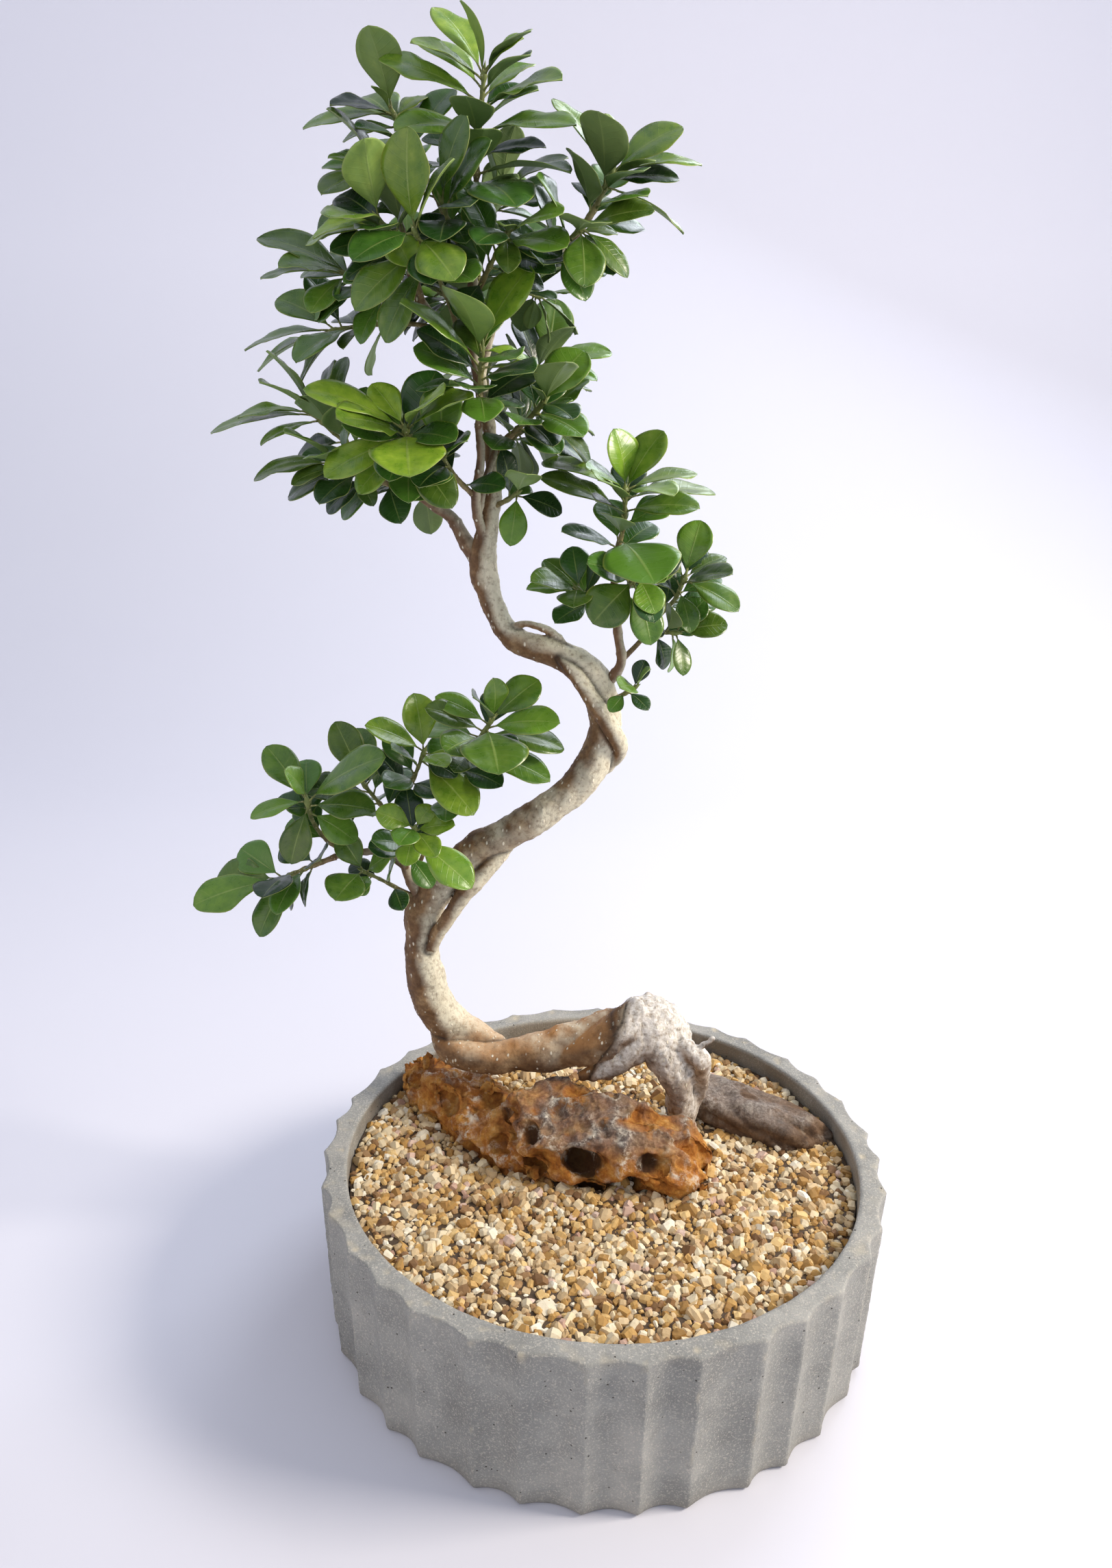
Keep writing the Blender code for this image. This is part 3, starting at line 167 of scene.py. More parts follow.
# %% Shoots
# Leafy shoots: name: (parent, stem points, share left bare, leaves, leaf length, first turn in degrees)
SHOOTS = {
    "lower_right_shoot": ("trunk", [
        (-108, 46, 158), (-117, 36, 173), (-112, 30, 191), (-103, 30, 212), (-94, 30, 240), (-82, 26, 258),
        (-70, 24, 277)], 0.58, 12, 37, 10),
    "lower_middle_shoot": ("lower_left_branch", [(-125, 36, 221), (-116, 30, 240),
        (-110, 28, 255)], 0.15, 8, 36, 200),
    "lower_back_shoot": ("lower_left_branch", [(-127, 37, 204), (-139, 45, 214),
        (-151, 50, 226)], 0.3, 6, 38, 60),
    "lower_left_shoot": ("lower_outer_branch", [
        (-159, 36, 186), (-170, 29, 198), (-177, 26, 211), (-179, 24, 225)], 0.3, 9, 36, 150),
    "lower_outer_shoot": ("lower_outer_branch", [(-166, 34, 185), (-182, 30, 179),
        (-199, 24, 173)], 0.25, 6, 44, 20),
    "lower_front_shoot": ("lower_left_branch", [
        (-125, 41, 176), (-122, 30, 188), (-117, 17, 203), (-113, 9, 215)], 0.4, 7, 32, 90),
    "lower_small_shoot": ("trunk", [(-114, 47, 152), (-128, 42, 161), (-139, 36, 170),
        (-149, 30, 178)], 0.5, 5, 28, 0),
    "right_left_shoot": ("right_branch", [(-3, 41, 334), (-15, 33, 341), (-24, 28, 351)], 0.35, 6, 32, 30),
    "right_front_shoot": ("right_branch", [(-4, 40, 345), (3, 28, 352), (8, 17, 360)], 0.35, 6, 34, 160),
    "right_top_shoot": ("right_branch", [(-4, 40, 358), (-3, 40, 371), (0, 38, 385),
        (0, 36, 403)], 0.2, 12, 38, 0),
    "right_outer_shoot": ("right_branch", [
        (1, 44, 308), (12, 50, 319), (19, 54, 329), (30, 50, 343), (35, 46, 357)], 0.5, 9, 33, 0),
    "right_low_shoot": ("right_outer_shoot", [(14, 51, 322), (23, 44, 325),
        (31, 39, 326)], 0.35, 4, 30, 100),
    "right_foot_shoot": ("trunk", [(-8, 51, 281), (3, 38, 290), (10, 29, 297)], 0.65, 3, 20, 0),
    "top_shoot": ("crown_leader", [
        (-83, 48, 523), (-81, 46, 548), (-79, 44, 572), (-76, 42, 600)], 0.12, 15, 42, 180),
    "upper_left_shoot": ("crown_leader", [
        (-83, 48, 508), (-95, 57, 530), (-104, 60, 548), (-114, 61, 566),
        (-126, 60, 587)], 0.45, 9, 40, 200),
    "upper_middle_shoot": ("crown_left_branch", [(-115, 45, 509), (-120, 50, 532),
        (-129, 50, 558)], 0.2, 9, 39, 90),
    "left_bright_shoot": ("crown_left_branch", [
        (-109, 47, 494), (-111, 33, 508), (-117, 22, 521), (-125, 15, 531)], 0.45, 8, 41, 230),
    "left_middle_shoot": ("crown_left_branch", [(-103, 48, 488), (-124, 45, 498),
        (-148, 40, 508)], 0.35, 8, 38, 140),
    "left_hanging_shoot": ("crown_left_branch", [
        (-95, 48, 481), (-115, 58, 485), (-139, 66, 485), (-163, 70, 482)], 0.4, 8, 38, 40),
    "front_upper_shoot": ("crown_left_branch", [
        (-89, 48, 476), (-93, 31, 494), (-99, 15, 511), (-105, 2, 524)], 0.45, 7, 46, 200),
    "front_leader_shoot": ("front_leader", [(-78, 28, 434), (-76, 20, 452),
        (-74, 15, 475)], 0.2, 10, 45, 150),
    "right_inner_shoot": ("front_side_branch", [(-69, 43, 424), (-54, 41, 437),
        (-44, 36, 447)], 0.2, 9, 38, 0),
    "left_main_shoot": ("left_leader", [(-115, 50, 397), (-116, 36, 414),
        (-114, 15, 433)], 0.35, 12, 43, 250),
    "left_outer_shoot": ("left_leader", [(-126, 48, 401), (-150, 60, 418),
        (-175, 60, 439)], 0.2, 10, 42, 120),
    "left_low_shoot": ("left_leader", [(-121, 49, 400), (-138, 39, 406),
        (-156, 33, 414)], 0.25, 7, 38, 330),
    "front_small_shoot": ("front_leader", [(-80, 36, 397), (-90, 25, 409), (-97, 15, 423)], 0.3, 5, 35, 60),
    "right_backward_shoot": ("front_side_branch", [(-70, 42, 421), (-60, 57, 430),
        (-49, 70, 434)], 0.35, 7, 37, 0),
    "trunk_side_shoot": ("trunk", [(-73, 48, 391), (-64, 40, 396), (-58, 35, 400)], 0.6, 3, 32, 200),
    "right_upper_shoot": ("crown_right_branch", [(-31, 44, 526), (-21, 42, 539),
        (-12, 40, 556)], 0.15, 10, 42, 60),
    "right_middle_shoot": ("crown_right_branch", [(-50, 46, 512), (-38, 34, 520),
        (-26, 25, 529)], 0.3, 8, 38, 300),
    "right_drooping_shoot": ("crown_right_branch", [(-65, 48, 499), (-58, 61, 502),
        (-50, 74, 501)], 0.3, 7, 34, 10),
    "centre_right_shoot": ("crown_leader", [(-83, 48, 496), (-73, 34, 511),
        (-62, 20, 526)], 0.3, 7, 38, 330),
    "centre_left_shoot": ("crown_leader", [(-83, 48, 511), (-90, 31, 526),
        (-95, 15, 541)], 0.3, 7, 38, 200),
    "back_low_shoot": ("trunk", [
        (-73, 48, 417), (-76, 70, 440), (-82, 92, 462), (-90, 104, 476), (-96, 112, 493)], 0.55, 8, 38, 30),
    "back_right_shoot": ("back_low_shoot", [(-78, 78, 448), (-62, 92, 456),
        (-46, 102, 468)], 0.3, 8, 38, 160),
    "upper_back_shoot": ("trunk", [
        (-82, 48, 464), (-84, 67, 484), (-86, 88, 504), (-84, 96, 522), (-80, 100, 543)], 0.5, 8, 38, 270),
    "back_left_shoot": ("upper_back_shoot", [(-85, 77, 494), (-104, 88, 502),
        (-124, 98, 514)], 0.3, 8, 38, 0),
    "back_high_shoot": ("crown_leader", [(-83, 48, 517), (-76, 65, 536), (-70, 80, 557)], 0.3, 8, 38, 100),
    "back_outer_shoot": ("left_leader", [(-104, 52, 390), (-116, 74, 402),
        (-131, 90, 417)], 0.4, 7, 38, 220),
}

# %% Leaves set one by one
# Leaves set one by one, ahead of the ones that follow the rule: shoot: [(share along it, tip point, width
# share)]
SET_LEAVES = {
    "lower_right_shoot": [(1, (-69, 20, 302), 0.62), (0.97, (-103, 25, 289), 0.42),
        (0.93, (-107, 14, 285), 0.42), (0.95, (-31, 14, 279), 0.5), (0.92, (-29, 32, 258), 0.3),
        (0.95, (-62, -18, 258), 0.75), (0.9, (-116, 50, 262), 0.42), (0.9, (-93, -6, 266), 0.6),
        (0.82, (-36, 18, 243), 0.34), (0.8, (-90, 8, 250), 0.6)],
    "lower_middle_shoot": [(1, (-142, 18, 273), 0.44), (0.97, (-89, 36, 247), 0.45),
        (0.92, (-93, 2, 255), 0.42), (0.85, (-78, 4, 226), 0.5), (0.8, (-109, 2, 240), 0.6)],
    "lower_back_shoot": [(1, (-169, 58, 263), 0.42), (0.95, (-132, 40, 245), 0.4),
        (0.9, (-175, 60, 233), 0.42)],
    "lower_left_shoot": [(1, (-188, 14, 246), 0.66), (0.95, (-205, 36, 253), 0.44),
        (0.97, (-209, 10, 217), 0.34), (0.9, (-185, 5, 191), 0.52), (0.95, (-128, 8, 258), 0.44),
        (0.9, (-136, 14, 223), 0.4), (0.8, (-148, 14, 203), 0.5)],
    "lower_outer_shoot": [(1, (-246, 6, 162), 0.4), (0.55, (-193, -4, 163), 0.4),
        (0.75, (-208, 8, 142), 0.4), (0.4, (-187, 34, 151), 0.36)],
    "lower_small_shoot": [(1, (-160, 4, 170), 0.8), (0.85, (-152, 28, 163), 0.7),
        (0.95, (-130, 24, 192), 0.6)],
    "lower_front_shoot": [(1, (-134, 2, 227), 0.6), (1, (-104, 16, 227), 0.72),
        (0.95, (-89, 4, 220), 0.5), (0.95, (-97, -16, 208), 0.45), (0.8, (-79, 2, 182), 0.42),
        (0.8, (-117, -2, 196), 0.66)],
    "right_top_shoot": [(1, (-7, 30, 435), 0.66), (1, (39, 46, 412), 0.32), (0.97, (25, 0, 404), 0.3),
        (0.9, (50, 60, 401), 0.3), (0.75, (40, 24, 396), 0.48), (0.72, (-47, 42, 409), 0.3),
        (0.95, (-46, 72, 416), 0.22), (0.85, (-14, 4, 411), 0.6), (0.3, (-33, 18, 383), 0.4),
        (0.4, (17, -6, 360), 0.75)],
    "right_left_shoot": [(0.8, (-44, 46, 364), 0.28), (0.9, (-52, 24, 351), 0.28),
        (1, (-25, 4, 345), 0.72)],
    "right_front_shoot": [(1, (18, 2, 343), 0.66), (0.9, (-15, 6, 336), 0.72),
        (0.8, (17, 12, 324), 0.5)],
    "right_outer_shoot": [(0.97, (58, 60, 366), 0.2), (1, (47, 38, 370), 0.6),
        (0.95, (65, 34, 340), 0.5), (0.85, (39, 34, 327), 0.5), (0.97, (24, 44, 368), 0.5),
        (0.6, (35, 34, 320), 0.45)],
    "right_low_shoot": [(1, (36, 28, 304), 0.3), (0.9, (29, 48, 301), 0.3)],
    "right_foot_shoot": [(1, (17, 20, 310), 0.45), (0.95, (1, 10, 301), 0.6)],
    "top_shoot": [(1, (-51, 28, 615), 0.6), (0.95, (-109, 22, 608), 0.5),
        (0.97, (-109, 62, 640), 0.22), (0.9, (-121, 72, 626), 0.34), (0.82, (-129, 44, 606), 0.4),
        (0.78, (-36, 18, 592), 0.5), (0.85, (-47, 68, 613), 0.28), (0.65, (-29, 24, 574), 0.4),
        (0.66, (-116, 12, 569), 0.42), (0.42, (-121, 12, 551), 0.38), (0.42, (-31, 20, 553), 0.38),
        (0.52, (-45, 44, 568), 0.42), (0.36, (-55, -6, 534), 0.5)],
    "upper_left_shoot": [(0.97, (-171, 54, 577), 0.44), (1, (-133, 48, 595), 0.5),
        (0.9, (-154, 70, 574), 0.4), (0.95, (-111, 78, 597), 0.45), (0.8, (-128, 44, 552), 0.5)],
    "upper_middle_shoot": [(1, (-155, 40, 562), 0.5), (0.9, (-162, 62, 555), 0.42),
        (0.97, (-154, 18, 542), 0.4), (0.8, (-162, 40, 524), 0.55)],
    "left_bright_shoot": [(1, (-156, 6, 521), 0.22), (0.9, (-165, 26, 520), 0.34),
        (0.95, (-140, 4, 546), 0.44), (0.85, (-106, -4, 508), 0.5)],
    "left_middle_shoot": [(1, (-191, 32, 505), 0.34), (0.97, (-163, 22, 488), 0.6),
        (0.9, (-195, 44, 525), 0.38)],
    "left_hanging_shoot": [(1, (-215, 74, 471), 0.32), (0.97, (-210, 80, 460), 0.16),
        (0.9, (-181, 60, 453), 0.36), (0.8, (-154, 52, 472), 0.5)],
    "front_upper_shoot": [(0.95, (-83, -18, 501), 0.62), (0.85, (-135, -2, 488), 0.52),
        (1, (-84, -10, 554), 0.24), (0.75, (-124, 16, 474), 0.5)],
    "front_leader_shoot": [(0.95, (-74, 6, 499), 0.66), (0.7, (-110, -16, 492), 0.44),
        (0.5, (-109, 16, 452), 0.38), (0.85, (-100, 12, 475), 0.34), (0.92, (-52, 26, 468), 0.42),
        (0.72, (-40, 30, 461), 0.38)],
    "left_main_shoot": [(0.97, (-163, 0, 452), 0.24), (1, (-133, 24, 455), 0.5),
        (1, (-113, 24, 455), 0.48), (0.97, (-76, -4, 450), 0.22), (0.92, (-105, -26, 412), 0.72),
        (0.85, (-155, 2, 409), 0.44), (0.75, (-140, 12, 400), 0.5), (0.6, (-89, 8, 394), 0.44),
        (0.85, (-71, 34, 427), 0.28)],
    "left_outer_shoot": [(0.97, (-233, 60, 427), 0.2), (1, (-214, 52, 436), 0.26),
        (0.9, (-200, 44, 422), 0.24), (0.8, (-159, 80, 469), 0.34), (0.9, (-175, 70, 473), 0.4)],
    "left_low_shoot": [(1, (-203, 38, 404), 0.26), (0.9, (-179, 26, 403), 0.4),
        (0.7, (-135, 30, 392), 0.4)],
    "right_inner_shoot": [(1, (-42, 34, 473), 0.48), (0.97, (-49, 20, 455), 0.5),
        (0.9, (-18, 60, 430), 0.2), (0.8, (-18, 52, 413), 0.22)],
    "trunk_side_shoot": [(1, (-60, 18, 374), 0.45)],
    "right_upper_shoot": [(1, (-16, 34, 581), 0.62), (0.92, (-43, 52, 591), 0.16),
        (0.97, (33, 46, 561), 0.26), (0.9, (9, 24, 559), 0.3), (0.4, (-31, 12, 561), 0.6),
        (0.8, (26, 52, 530), 0.18)],
    "right_middle_shoot": [(1, (-2, 28, 507), 0.44), (0.97, (-23, 0, 500), 0.5),
        (0.9, (-8, 36, 528), 0.34), (0.8, (-37, -2, 514), 0.7)],
    "right_drooping_shoot": [(1, (-22, 62, 501), 0.4), (0.95, (-44, 70, 477), 0.24),
        (0.9, (-56, 72, 484), 0.4)],
    "centre_right_shoot": [(0.95, (-60, 2, 506), 0.4), (1, (-62, 0, 527), 0.5)],
}

# %% Stones
# Stones, bedded in the gravel of a bowl of the design size, and sized to suit the bowl:
# name: centre, half lengths along its own axes, turns about Z, X and Y in degrees
STONES = {
    "left_rock": ((-78, 34, 4), (66, 23, 25), (-42, 0, 5)),
    "right_rock": ((1, 5, 5), (66, 29, 37), (-14, 22, 4)),
    "side_stone": ((98, 53, 4), (45, 19, 13), (-24, -8, 5)),
}
DESIGN_INNER_RADIUS = 154      # of the bowl that the stones' table is for

# Hollows worn into the stones: direction from the stone's middle, and half lengths
HOLLOWS = {
    "left_rock": [((-0.6, -0.6, 0.5), (13, 9, 9)), ((0.45, -0.7, 0.45), (8, 8, 6)),
        ((-0.85, 0.1, 0.5), (8, 8, 7))],
    "right_rock": [
        ((-0.12, -0.75, 0.6), (12, 15, 10)), ((0.3, -0.9, 0.3), (9, 12, 8)), ((0.5, -0.9, 0.05), (5, 9, 5)),
        ((-0.5, -0.5, 0.65), (7, 8, 6))],
    "side_stone": [],
}

# %% [markdown]
# ## Small tools
#
# Meshes are made as whole arrays of points. Natural surfaces get their unevenness from one
# noise function, at sizes in real millimetres, so that the shape itself carries the relief
# and the finishes only add what is finer than the mesh.

# %% Noise and meshes
def noise(points, scale, seed=0):
    """Smooth noise from -1 to 1: random values on a lattice of one scale, blended by 3p^2 - 2p^3."""
    place = np.asarray(points, dtype=float) / scale + 0.37 * seed
    cell = np.floor(place).astype(np.int64)
    part = place - cell
    blend = part * part * (3 - 2 * part)
    total = np.zeros(len(place))
    for corner in itertools.product((0, 1), repeat=3):
        key = (cell + corner) * (73856093, 19349663, 83492791)
        mixed = key[:, 0] ^ key[:, 1] ^ key[:, 2] ^ (seed * 7919 + 12345)
        mixed = ((mixed ^ (mixed >> 13)) * 1274126177) & 0x7FFFFFFF
        value = ((mixed ^ (mixed >> 15)) & 0xFFFF) / 32767.5 - 1
        total += value * np.prod(np.where(corner, blend, 1 - blend), axis=1)
    return total


def layered(points, scale, octaves, seed=0):
    """Several noises added, each half the size and half the strength of the one before."""
    return sum(noise(points, scale / 2 ** n, seed + n) / 2 ** n for n in range(octaves))


def scoops(points, scale, seed):
    """Distances, in cells, from each point to the nearest two of one random middle per cell.

    The third array is the random number that the nearest middle carries.
    """
    place = points / scale + 0.37 * seed
    cell = np.floor(place).astype(np.int64)
    nearest, following, own = (np.full(len(place), value) for value in (9.0, 9.0, 0.0))
    for step in itertools.product((-1, 0, 1), repeat=3):
        key = (cell + step) * (73856093, 19349663, 83492791)
        mixed = key[:, 0] ^ key[:, 1] ^ key[:, 2] ^ (seed * 7919 + 12345)
        values = []
        for turn in range(4):
            mixed = ((mixed ^ (mixed >> 13)) * 1274126177) & 0x7FFFFFFF
            values.append(((mixed ^ (mixed >> 15)) & 0xFFFF) / 65535)
        distance = np.linalg.norm(place - cell - step - np.stack(values[:3], axis=1), axis=1)
        closer = distance < nearest
        following = np.where(closer, nearest, np.minimum(following, distance))
        own = np.where(closer, values[3], own)
        nearest = np.minimum(nearest, distance)
    return nearest, following, own


def mesh_object(name, points, quads=(), triangles=(), looks=(), slots=None):
    """A smooth-shaded object from arrays of points and of four- and three-sided faces."""
    quads = np.asarray(quads, dtype=np.int32).reshape(-1, 4)
    triangles = np.asarray(triangles, dtype=np.int32).reshape(-1, 3)
    corners = np.concatenate([quads.ravel(), triangles.ravel()])
    starts = np.concatenate([4 * np.arange(len(quads)), 4 * len(quads) + 3 * np.arange(len(triangles))])
    mesh = bpy.data.meshes.new(name)
    mesh.vertices.add(len(points))
    mesh.vertices.foreach_set("co", np.asarray(points, dtype=np.float32).ravel())
    mesh.loops.add(len(corners))
    mesh.loops.foreach_set("vertex_index", corners)
    mesh.polygons.add(len(starts))
    mesh.polygons.foreach_set("loop_start", starts.astype(np.int32))
    if slots is not None:
        mesh.polygons.foreach_set("material_index", np.asarray(slots, dtype=np.int32))
    mesh.update(calc_edges=True)
    mesh.shade_smooth()
    for look in looks:
        mesh.materials.append(look)
    made = bpy.data.objects.new(name, mesh)
    bpy.context.scene.collection.objects.link(made)
    return made


def grid_quads(rows, columns, start=0):
    """Faces of a grid whose columns run round; the rows climb."""
    row, column = np.meshgrid(np.arange(rows - 1), np.arange(columns), indexing="ij")
    after = (column + 1) % columns
    lower, upper = row * columns, (row + 1) * columns
    quads = np.stack([lower + column, lower + after, upper + after, upper + column], axis=-1)
    return quads.reshape(-1, 4) + start


def mesh_points(made):
    """An object's points as an array."""
    points = np.empty(len(made.data.vertices) * 3)
    made.data.vertices.foreach_get("co", points)
    return points.reshape(-1, 3)


def mesh_normals(made):
    """An object's point normals as an array."""
    normals = np.empty(len(made.data.vertices) * 3)
    made.data.vertex_normals.foreach_get("vector", normals)
    return normals.reshape(-1, 3)


def move_points(made, points):
    """Give an object's points new places."""
    made.data.vertices.foreach_set("co", np.asarray(points, dtype=np.float32).ravel())
    made.data.update()


def attribute(made, name, values):
    """Store one number per point for the finish to read."""
    layer = made.data.attributes.new(name, "FLOAT", "POINT")
    layer.data.foreach_set("value", np.asarray(values, dtype=np.float32))


def settle(made):
    """Apply an object's modifiers, leaving a plain mesh."""
    bpy.context.view_layer.update()
    graph = bpy.context.evaluated_depsgraph_get()
    mesh = bpy.data.meshes.new_from_object(made.evaluated_get(graph))
    old = made.data
    made.modifiers.clear()
    made.data = mesh
    bpy.data.meshes.remove(old)
    mesh.shade_smooth()


def remesh(made, voxel, smoothing):
    """Fuse overlapping shapes into one skin of even faces, then soften its creases."""
    fuse = made.modifiers.new("fuse", "REMESH")
    fuse.mode = "VOXEL"
    fuse.voxel_size = voxel
    soften = made.modifiers.new("soften", "SMOOTH")
    soften.factor = 0.5
    soften.iterations = smoothing
    settle(made)


def install(made, nodes):
    """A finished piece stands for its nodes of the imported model."""
    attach(made, "root")
    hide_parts(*nodes)
    triangles = sum(len(face.vertices) - 2 for face in made.data.polygons)
    print(made.name, triangles, "triangles")


# %% [markdown]
# ## Finishes
#
# Every finish is a principled surface whose colour comes from layers of noise and cells at
# the size that the real surface shows, worked out from the place in the object. Colours are
# written as sRGB hex. Roughness varies with the same layers, and a bump adds the finest
# grain only.

# %% Finish tools
def linear(code):
    """A colour from sRGB hex to linear red, green, blue and full alpha."""
    parts = [int(code[i:i + 2], 16) / 255 for i in (1, 3, 5)]
    return [c / 12.92 if c <= 0.04045 else ((c + 0.055) / 1.055) ** 2.4 for c in parts] + [1]


class Finish:
    """A material being built: its nodes, and short ways to add the common ones."""

    def __init__(self, name, roughness, level=0.5):
        self.material = bpy.data.materials.new(name)
        self.material.use_nodes = True
        self.tree = self.material.node_tree
        self.shader = self.tree.nodes["Principled BSDF"]
        self.shader.inputs["Roughness"].default_value = roughness
        self.shader.inputs["Specular IOR Level"].default_value = level
        self.place = self.add("ShaderNodeTexCoord").outputs["Object"]

    def add(self, kind, inputs=None, **settings):
        """Add a node, with settings on itself and numbers or links on its inputs."""
        node = self.tree.nodes.new(kind)
        for key, value in settings.items():
            setattr(node, key, value)
        for key, value in (inputs or {}).items():
            if isinstance(value, bpy.types.NodeSocket):
                self.tree.links.new(value, node.inputs[key])
            else:
                node.inputs[key].default_value = value
        return node

    def noise(self, size, detail=4.0, roughness=0.6, place=None):
        """Noise from 0 to 1 whose lumps are about one size, in metres."""
        inputs = {"Vector": place or self.place, "Scale": 1 / size, "Detail": detail, "Roughness": roughness}
        return self.add("ShaderNodeTexNoise", inputs).outputs["Fac"]

    def cells(self, size, feature="F1", output="Distance", place=None):
        """Distance to the nearest cell's middle, or its random colour, for cells of one size in metres."""
        inputs = {"Vector": place or self.place, "Scale": 1 / size}
        return self.add("ShaderNodeTexVoronoi", inputs, feature=feature).outputs[output]

    def read(self, name):
        """The number stored for each point under a name."""
        return self.add("ShaderNodeAttribute", attribute_name=name).outputs["Fac"]

    def maths(self, operation, a, b=0.0):
        """A sum, product or other operation on two numbers."""
        return self.add("ShaderNodeMath", {0: a, 1: b}, operation=operation).outputs[0]

    def span(self, value, low, high, to_low=0.0, to_high=1.0):
        """Stretch a range onto another, clamped at its ends."""
        inputs = {"Value": value, "From Min": low, "From Max": high, "To Min": to_low, "To Max": to_high}
        return self.add("ShaderNodeMapRange", inputs).outputs["Result"]

    def mix(self, share, a, b):
        """One colour turning into another as the share goes from 0 to 1; hex codes or links."""
        node = self.add("ShaderNodeMix", {0: share}, data_type="RGBA")
        for index, value in ((6, a), (7, b)):
            if isinstance(value, str):
                node.inputs[index].default_value = linear(value)
            else:
                self.tree.links.new(value, node.inputs[index])
        return node.outputs[2]

    def ramp(self, value, *stops):
        """Colours at stops along a number: (place, hex)."""
        node = self.add("ShaderNodeValToRGB", {"Fac": value})
        ramp = node.color_ramp
        for place, code in stops[2:]:
            ramp.elements.new(place)
        for element, (place, code) in zip(sorted(ramp.elements, key=lambda e: e.position), stops):
            element.position = place
            element.color = linear(code)
        return node.outputs["Color"]

    def done(self, colour, roughness=None, height=None, depth=0.0):
        """Join the colour, the roughness and a fine bump whose depth is in metres."""
        self.tree.links.new(colour, self.shader.inputs["Base Color"])
        if roughness is not None:
            self.tree.links.new(roughness, self.shader.inputs["Roughness"])
        if height is not None:
            bump = self.add("ShaderNodeBump", {"Height": height, "Distance": depth, "Strength": 1.0})
            self.tree.links.new(bump.outputs["Normal"], self.shader.inputs["Normal"])
        return self.material


# %% [markdown]
# ## Bowl
#
# A round bowl cast in pale concrete, with thirty-five concave flutes that meet in sharp
# ridges. It could be cast in a rubber mould, which explains the small wander of the ridges,
# the pin holes where air was caught and the crumbled arrises along the rim. The skin is one
# profile carried round, with the flutes cut into its outer face only, then roughened, and
# the drain holes are bored through its floor.

# %% Concrete
def cast_concrete():
    """Pale grey cast concrete: cloudy tone, fine sand grains, and pin holes with painted shade in them."""
    finish = Finish("cast_concrete", 0.85, level=0.35)
    cloud = finish.noise(45 * MM, 5, 0.6)
    tone = finish.ramp(cloud, (0.3, "#84847f"), (0.5, "#999993"), (0.72, "#b0aea6"))
    stain = finish.span(finish.noise(14 * MM, 6, 0.65), 0.52, 0.72)
    tone = finish.mix(finish.maths("MULTIPLY", stain, 0.4), tone, "#85837b")
    sand = finish.span(finish.noise(1.1 * MM, 3, 0.75), 0.52, 0.66)
    tone = finish.mix(finish.maths("MULTIPLY", sand, 0.65), tone, "#d5cdbf")
    worn = finish.read("worn")
    tone = finish.mix(finish.maths("MULTIPLY", worn, 0.75), tone, "#cfc3a8")
    # Darker brown on the inner wall and towards the outside foot.
    tone = finish.mix(finish.maths("MULTIPLY", finish.read("darker_inner_wall_and_foot"), 0.7), tone, "#6f604c")
    # Painted shade: the rare pin holes are painted dark inside.
    holes = finish.span(finish.cells(5.5 * MM), 0.05, 0.11, 1, 0)
    rare = finish.span(finish.noise(9 * MM, 2), 0.5, 0.56)
    holes = finish.maths("MULTIPLY", holes, rare)
    tone = finish.mix(holes, tone, "#4b463e")
    grain = finish.maths("SUBTRACT", finish.noise(1.2 * MM, 5, 0.75), finish.maths("MULTIPLY", holes, 1.5))
    return finish.done(tone, finish.span(cloud, 0.2, 0.8, 0.78, 0.92), grain, 0.6 * MM)


# %% Fluted bowl
def ridge_angles():
    """Direction of each ridge, and of the first again after a full turn."""
    flute = np.arange(FLUTES + 1)
    angles = FIRST_RIDGE + 2 * np.pi * flute / FLUTES + FLUTE_WANDER * np.sin(2.3 * (flute % FLUTES) + 0.6)
    return angles


def bowl_columns(per_flute):
    """Direction of each column, and how far out it is: 1 on a ridge, 0 in a flute's middle.

    Across a flute the outward share is |2s - 1|^1.8, a hollow arc with a sharp edge each side.
    """
    share = np.arange(per_flute) / per_flute
    ridge = ridge_angles()
    angles = ridge[:-1, None] + np.diff(ridge)[:, None] * share
    out = np.tile(np.abs(2 * share - 1) ** 1.8, (FLUTES, 1))
    return angles.ravel(), np.minimum(out.ravel(), 0.95)


def bowl_profile():
    """Rows of (radius, height, share of the flutes' depth), from the base over the rim to the floor."""
    base, rim, inner = BOWL_RADIUS - BOWL_TAPER, BOWL_RADIUS, INNER_RIM
    rows = [(base * part, 0, 0) for part in (0.02, 0.2, 0.4, 0.6, 0.8)]
    rows += [(base - 4 * MM, 0, 0.5), (base - 2.4 * MM, 0.3 * MM, 0.75), (base - 0.8 * MM, 1.4 * MM, 0.95)]
    for step in np.linspace(0.03, 0.975, 62):
        rows.append((base + (rim - base) * step, BOWL_HEIGHT * step, 1 - 0.15 * step ** 12))
    edge = 2 * MM
    for turn in np.linspace(0.1, 1, 5):
        angle = turn * math.pi / 2
        inwards, down = edge * (1 - math.cos(angle)), edge * (1 - math.sin(angle))
        rows.append((rim - inwards, BOWL_HEIGHT - down, 0.85 - 0.1 * turn))
    for part in np.linspace(0.12, 0.9, 9):
        radius = (rim - edge) * (1 - part) + (inner + 1.2 * MM) * part
        rows.append((radius, BOWL_HEIGHT, max(0, 0.75 - 1.3 * part)))
    rows += [(inner + 0.4 * MM, BOWL_HEIGHT - 0.3 * MM, 0), (inner, BOWL_HEIGHT - 1.2 * MM, 0)]
    for drop in np.linspace(3, 24, 10):
        rows.append((inner - BOWL_TAPER * drop * MM / BOWL_HEIGHT, BOWL_HEIGHT - drop * MM, 0))
    low = inner - BOWL_TAPER
    rows += [(low + 0.8 * MM, FLOOR + 30 * MM, 0), (low - 1 * MM, FLOOR + 11 * MM, 0)]
    rows.append((low - 10 * MM, FLOOR + 1 * MM, 0))
    rows += [(low * part, FLOOR, 0) for part in (0.8, 0.4, 0.02)]
    return np.array(rows)


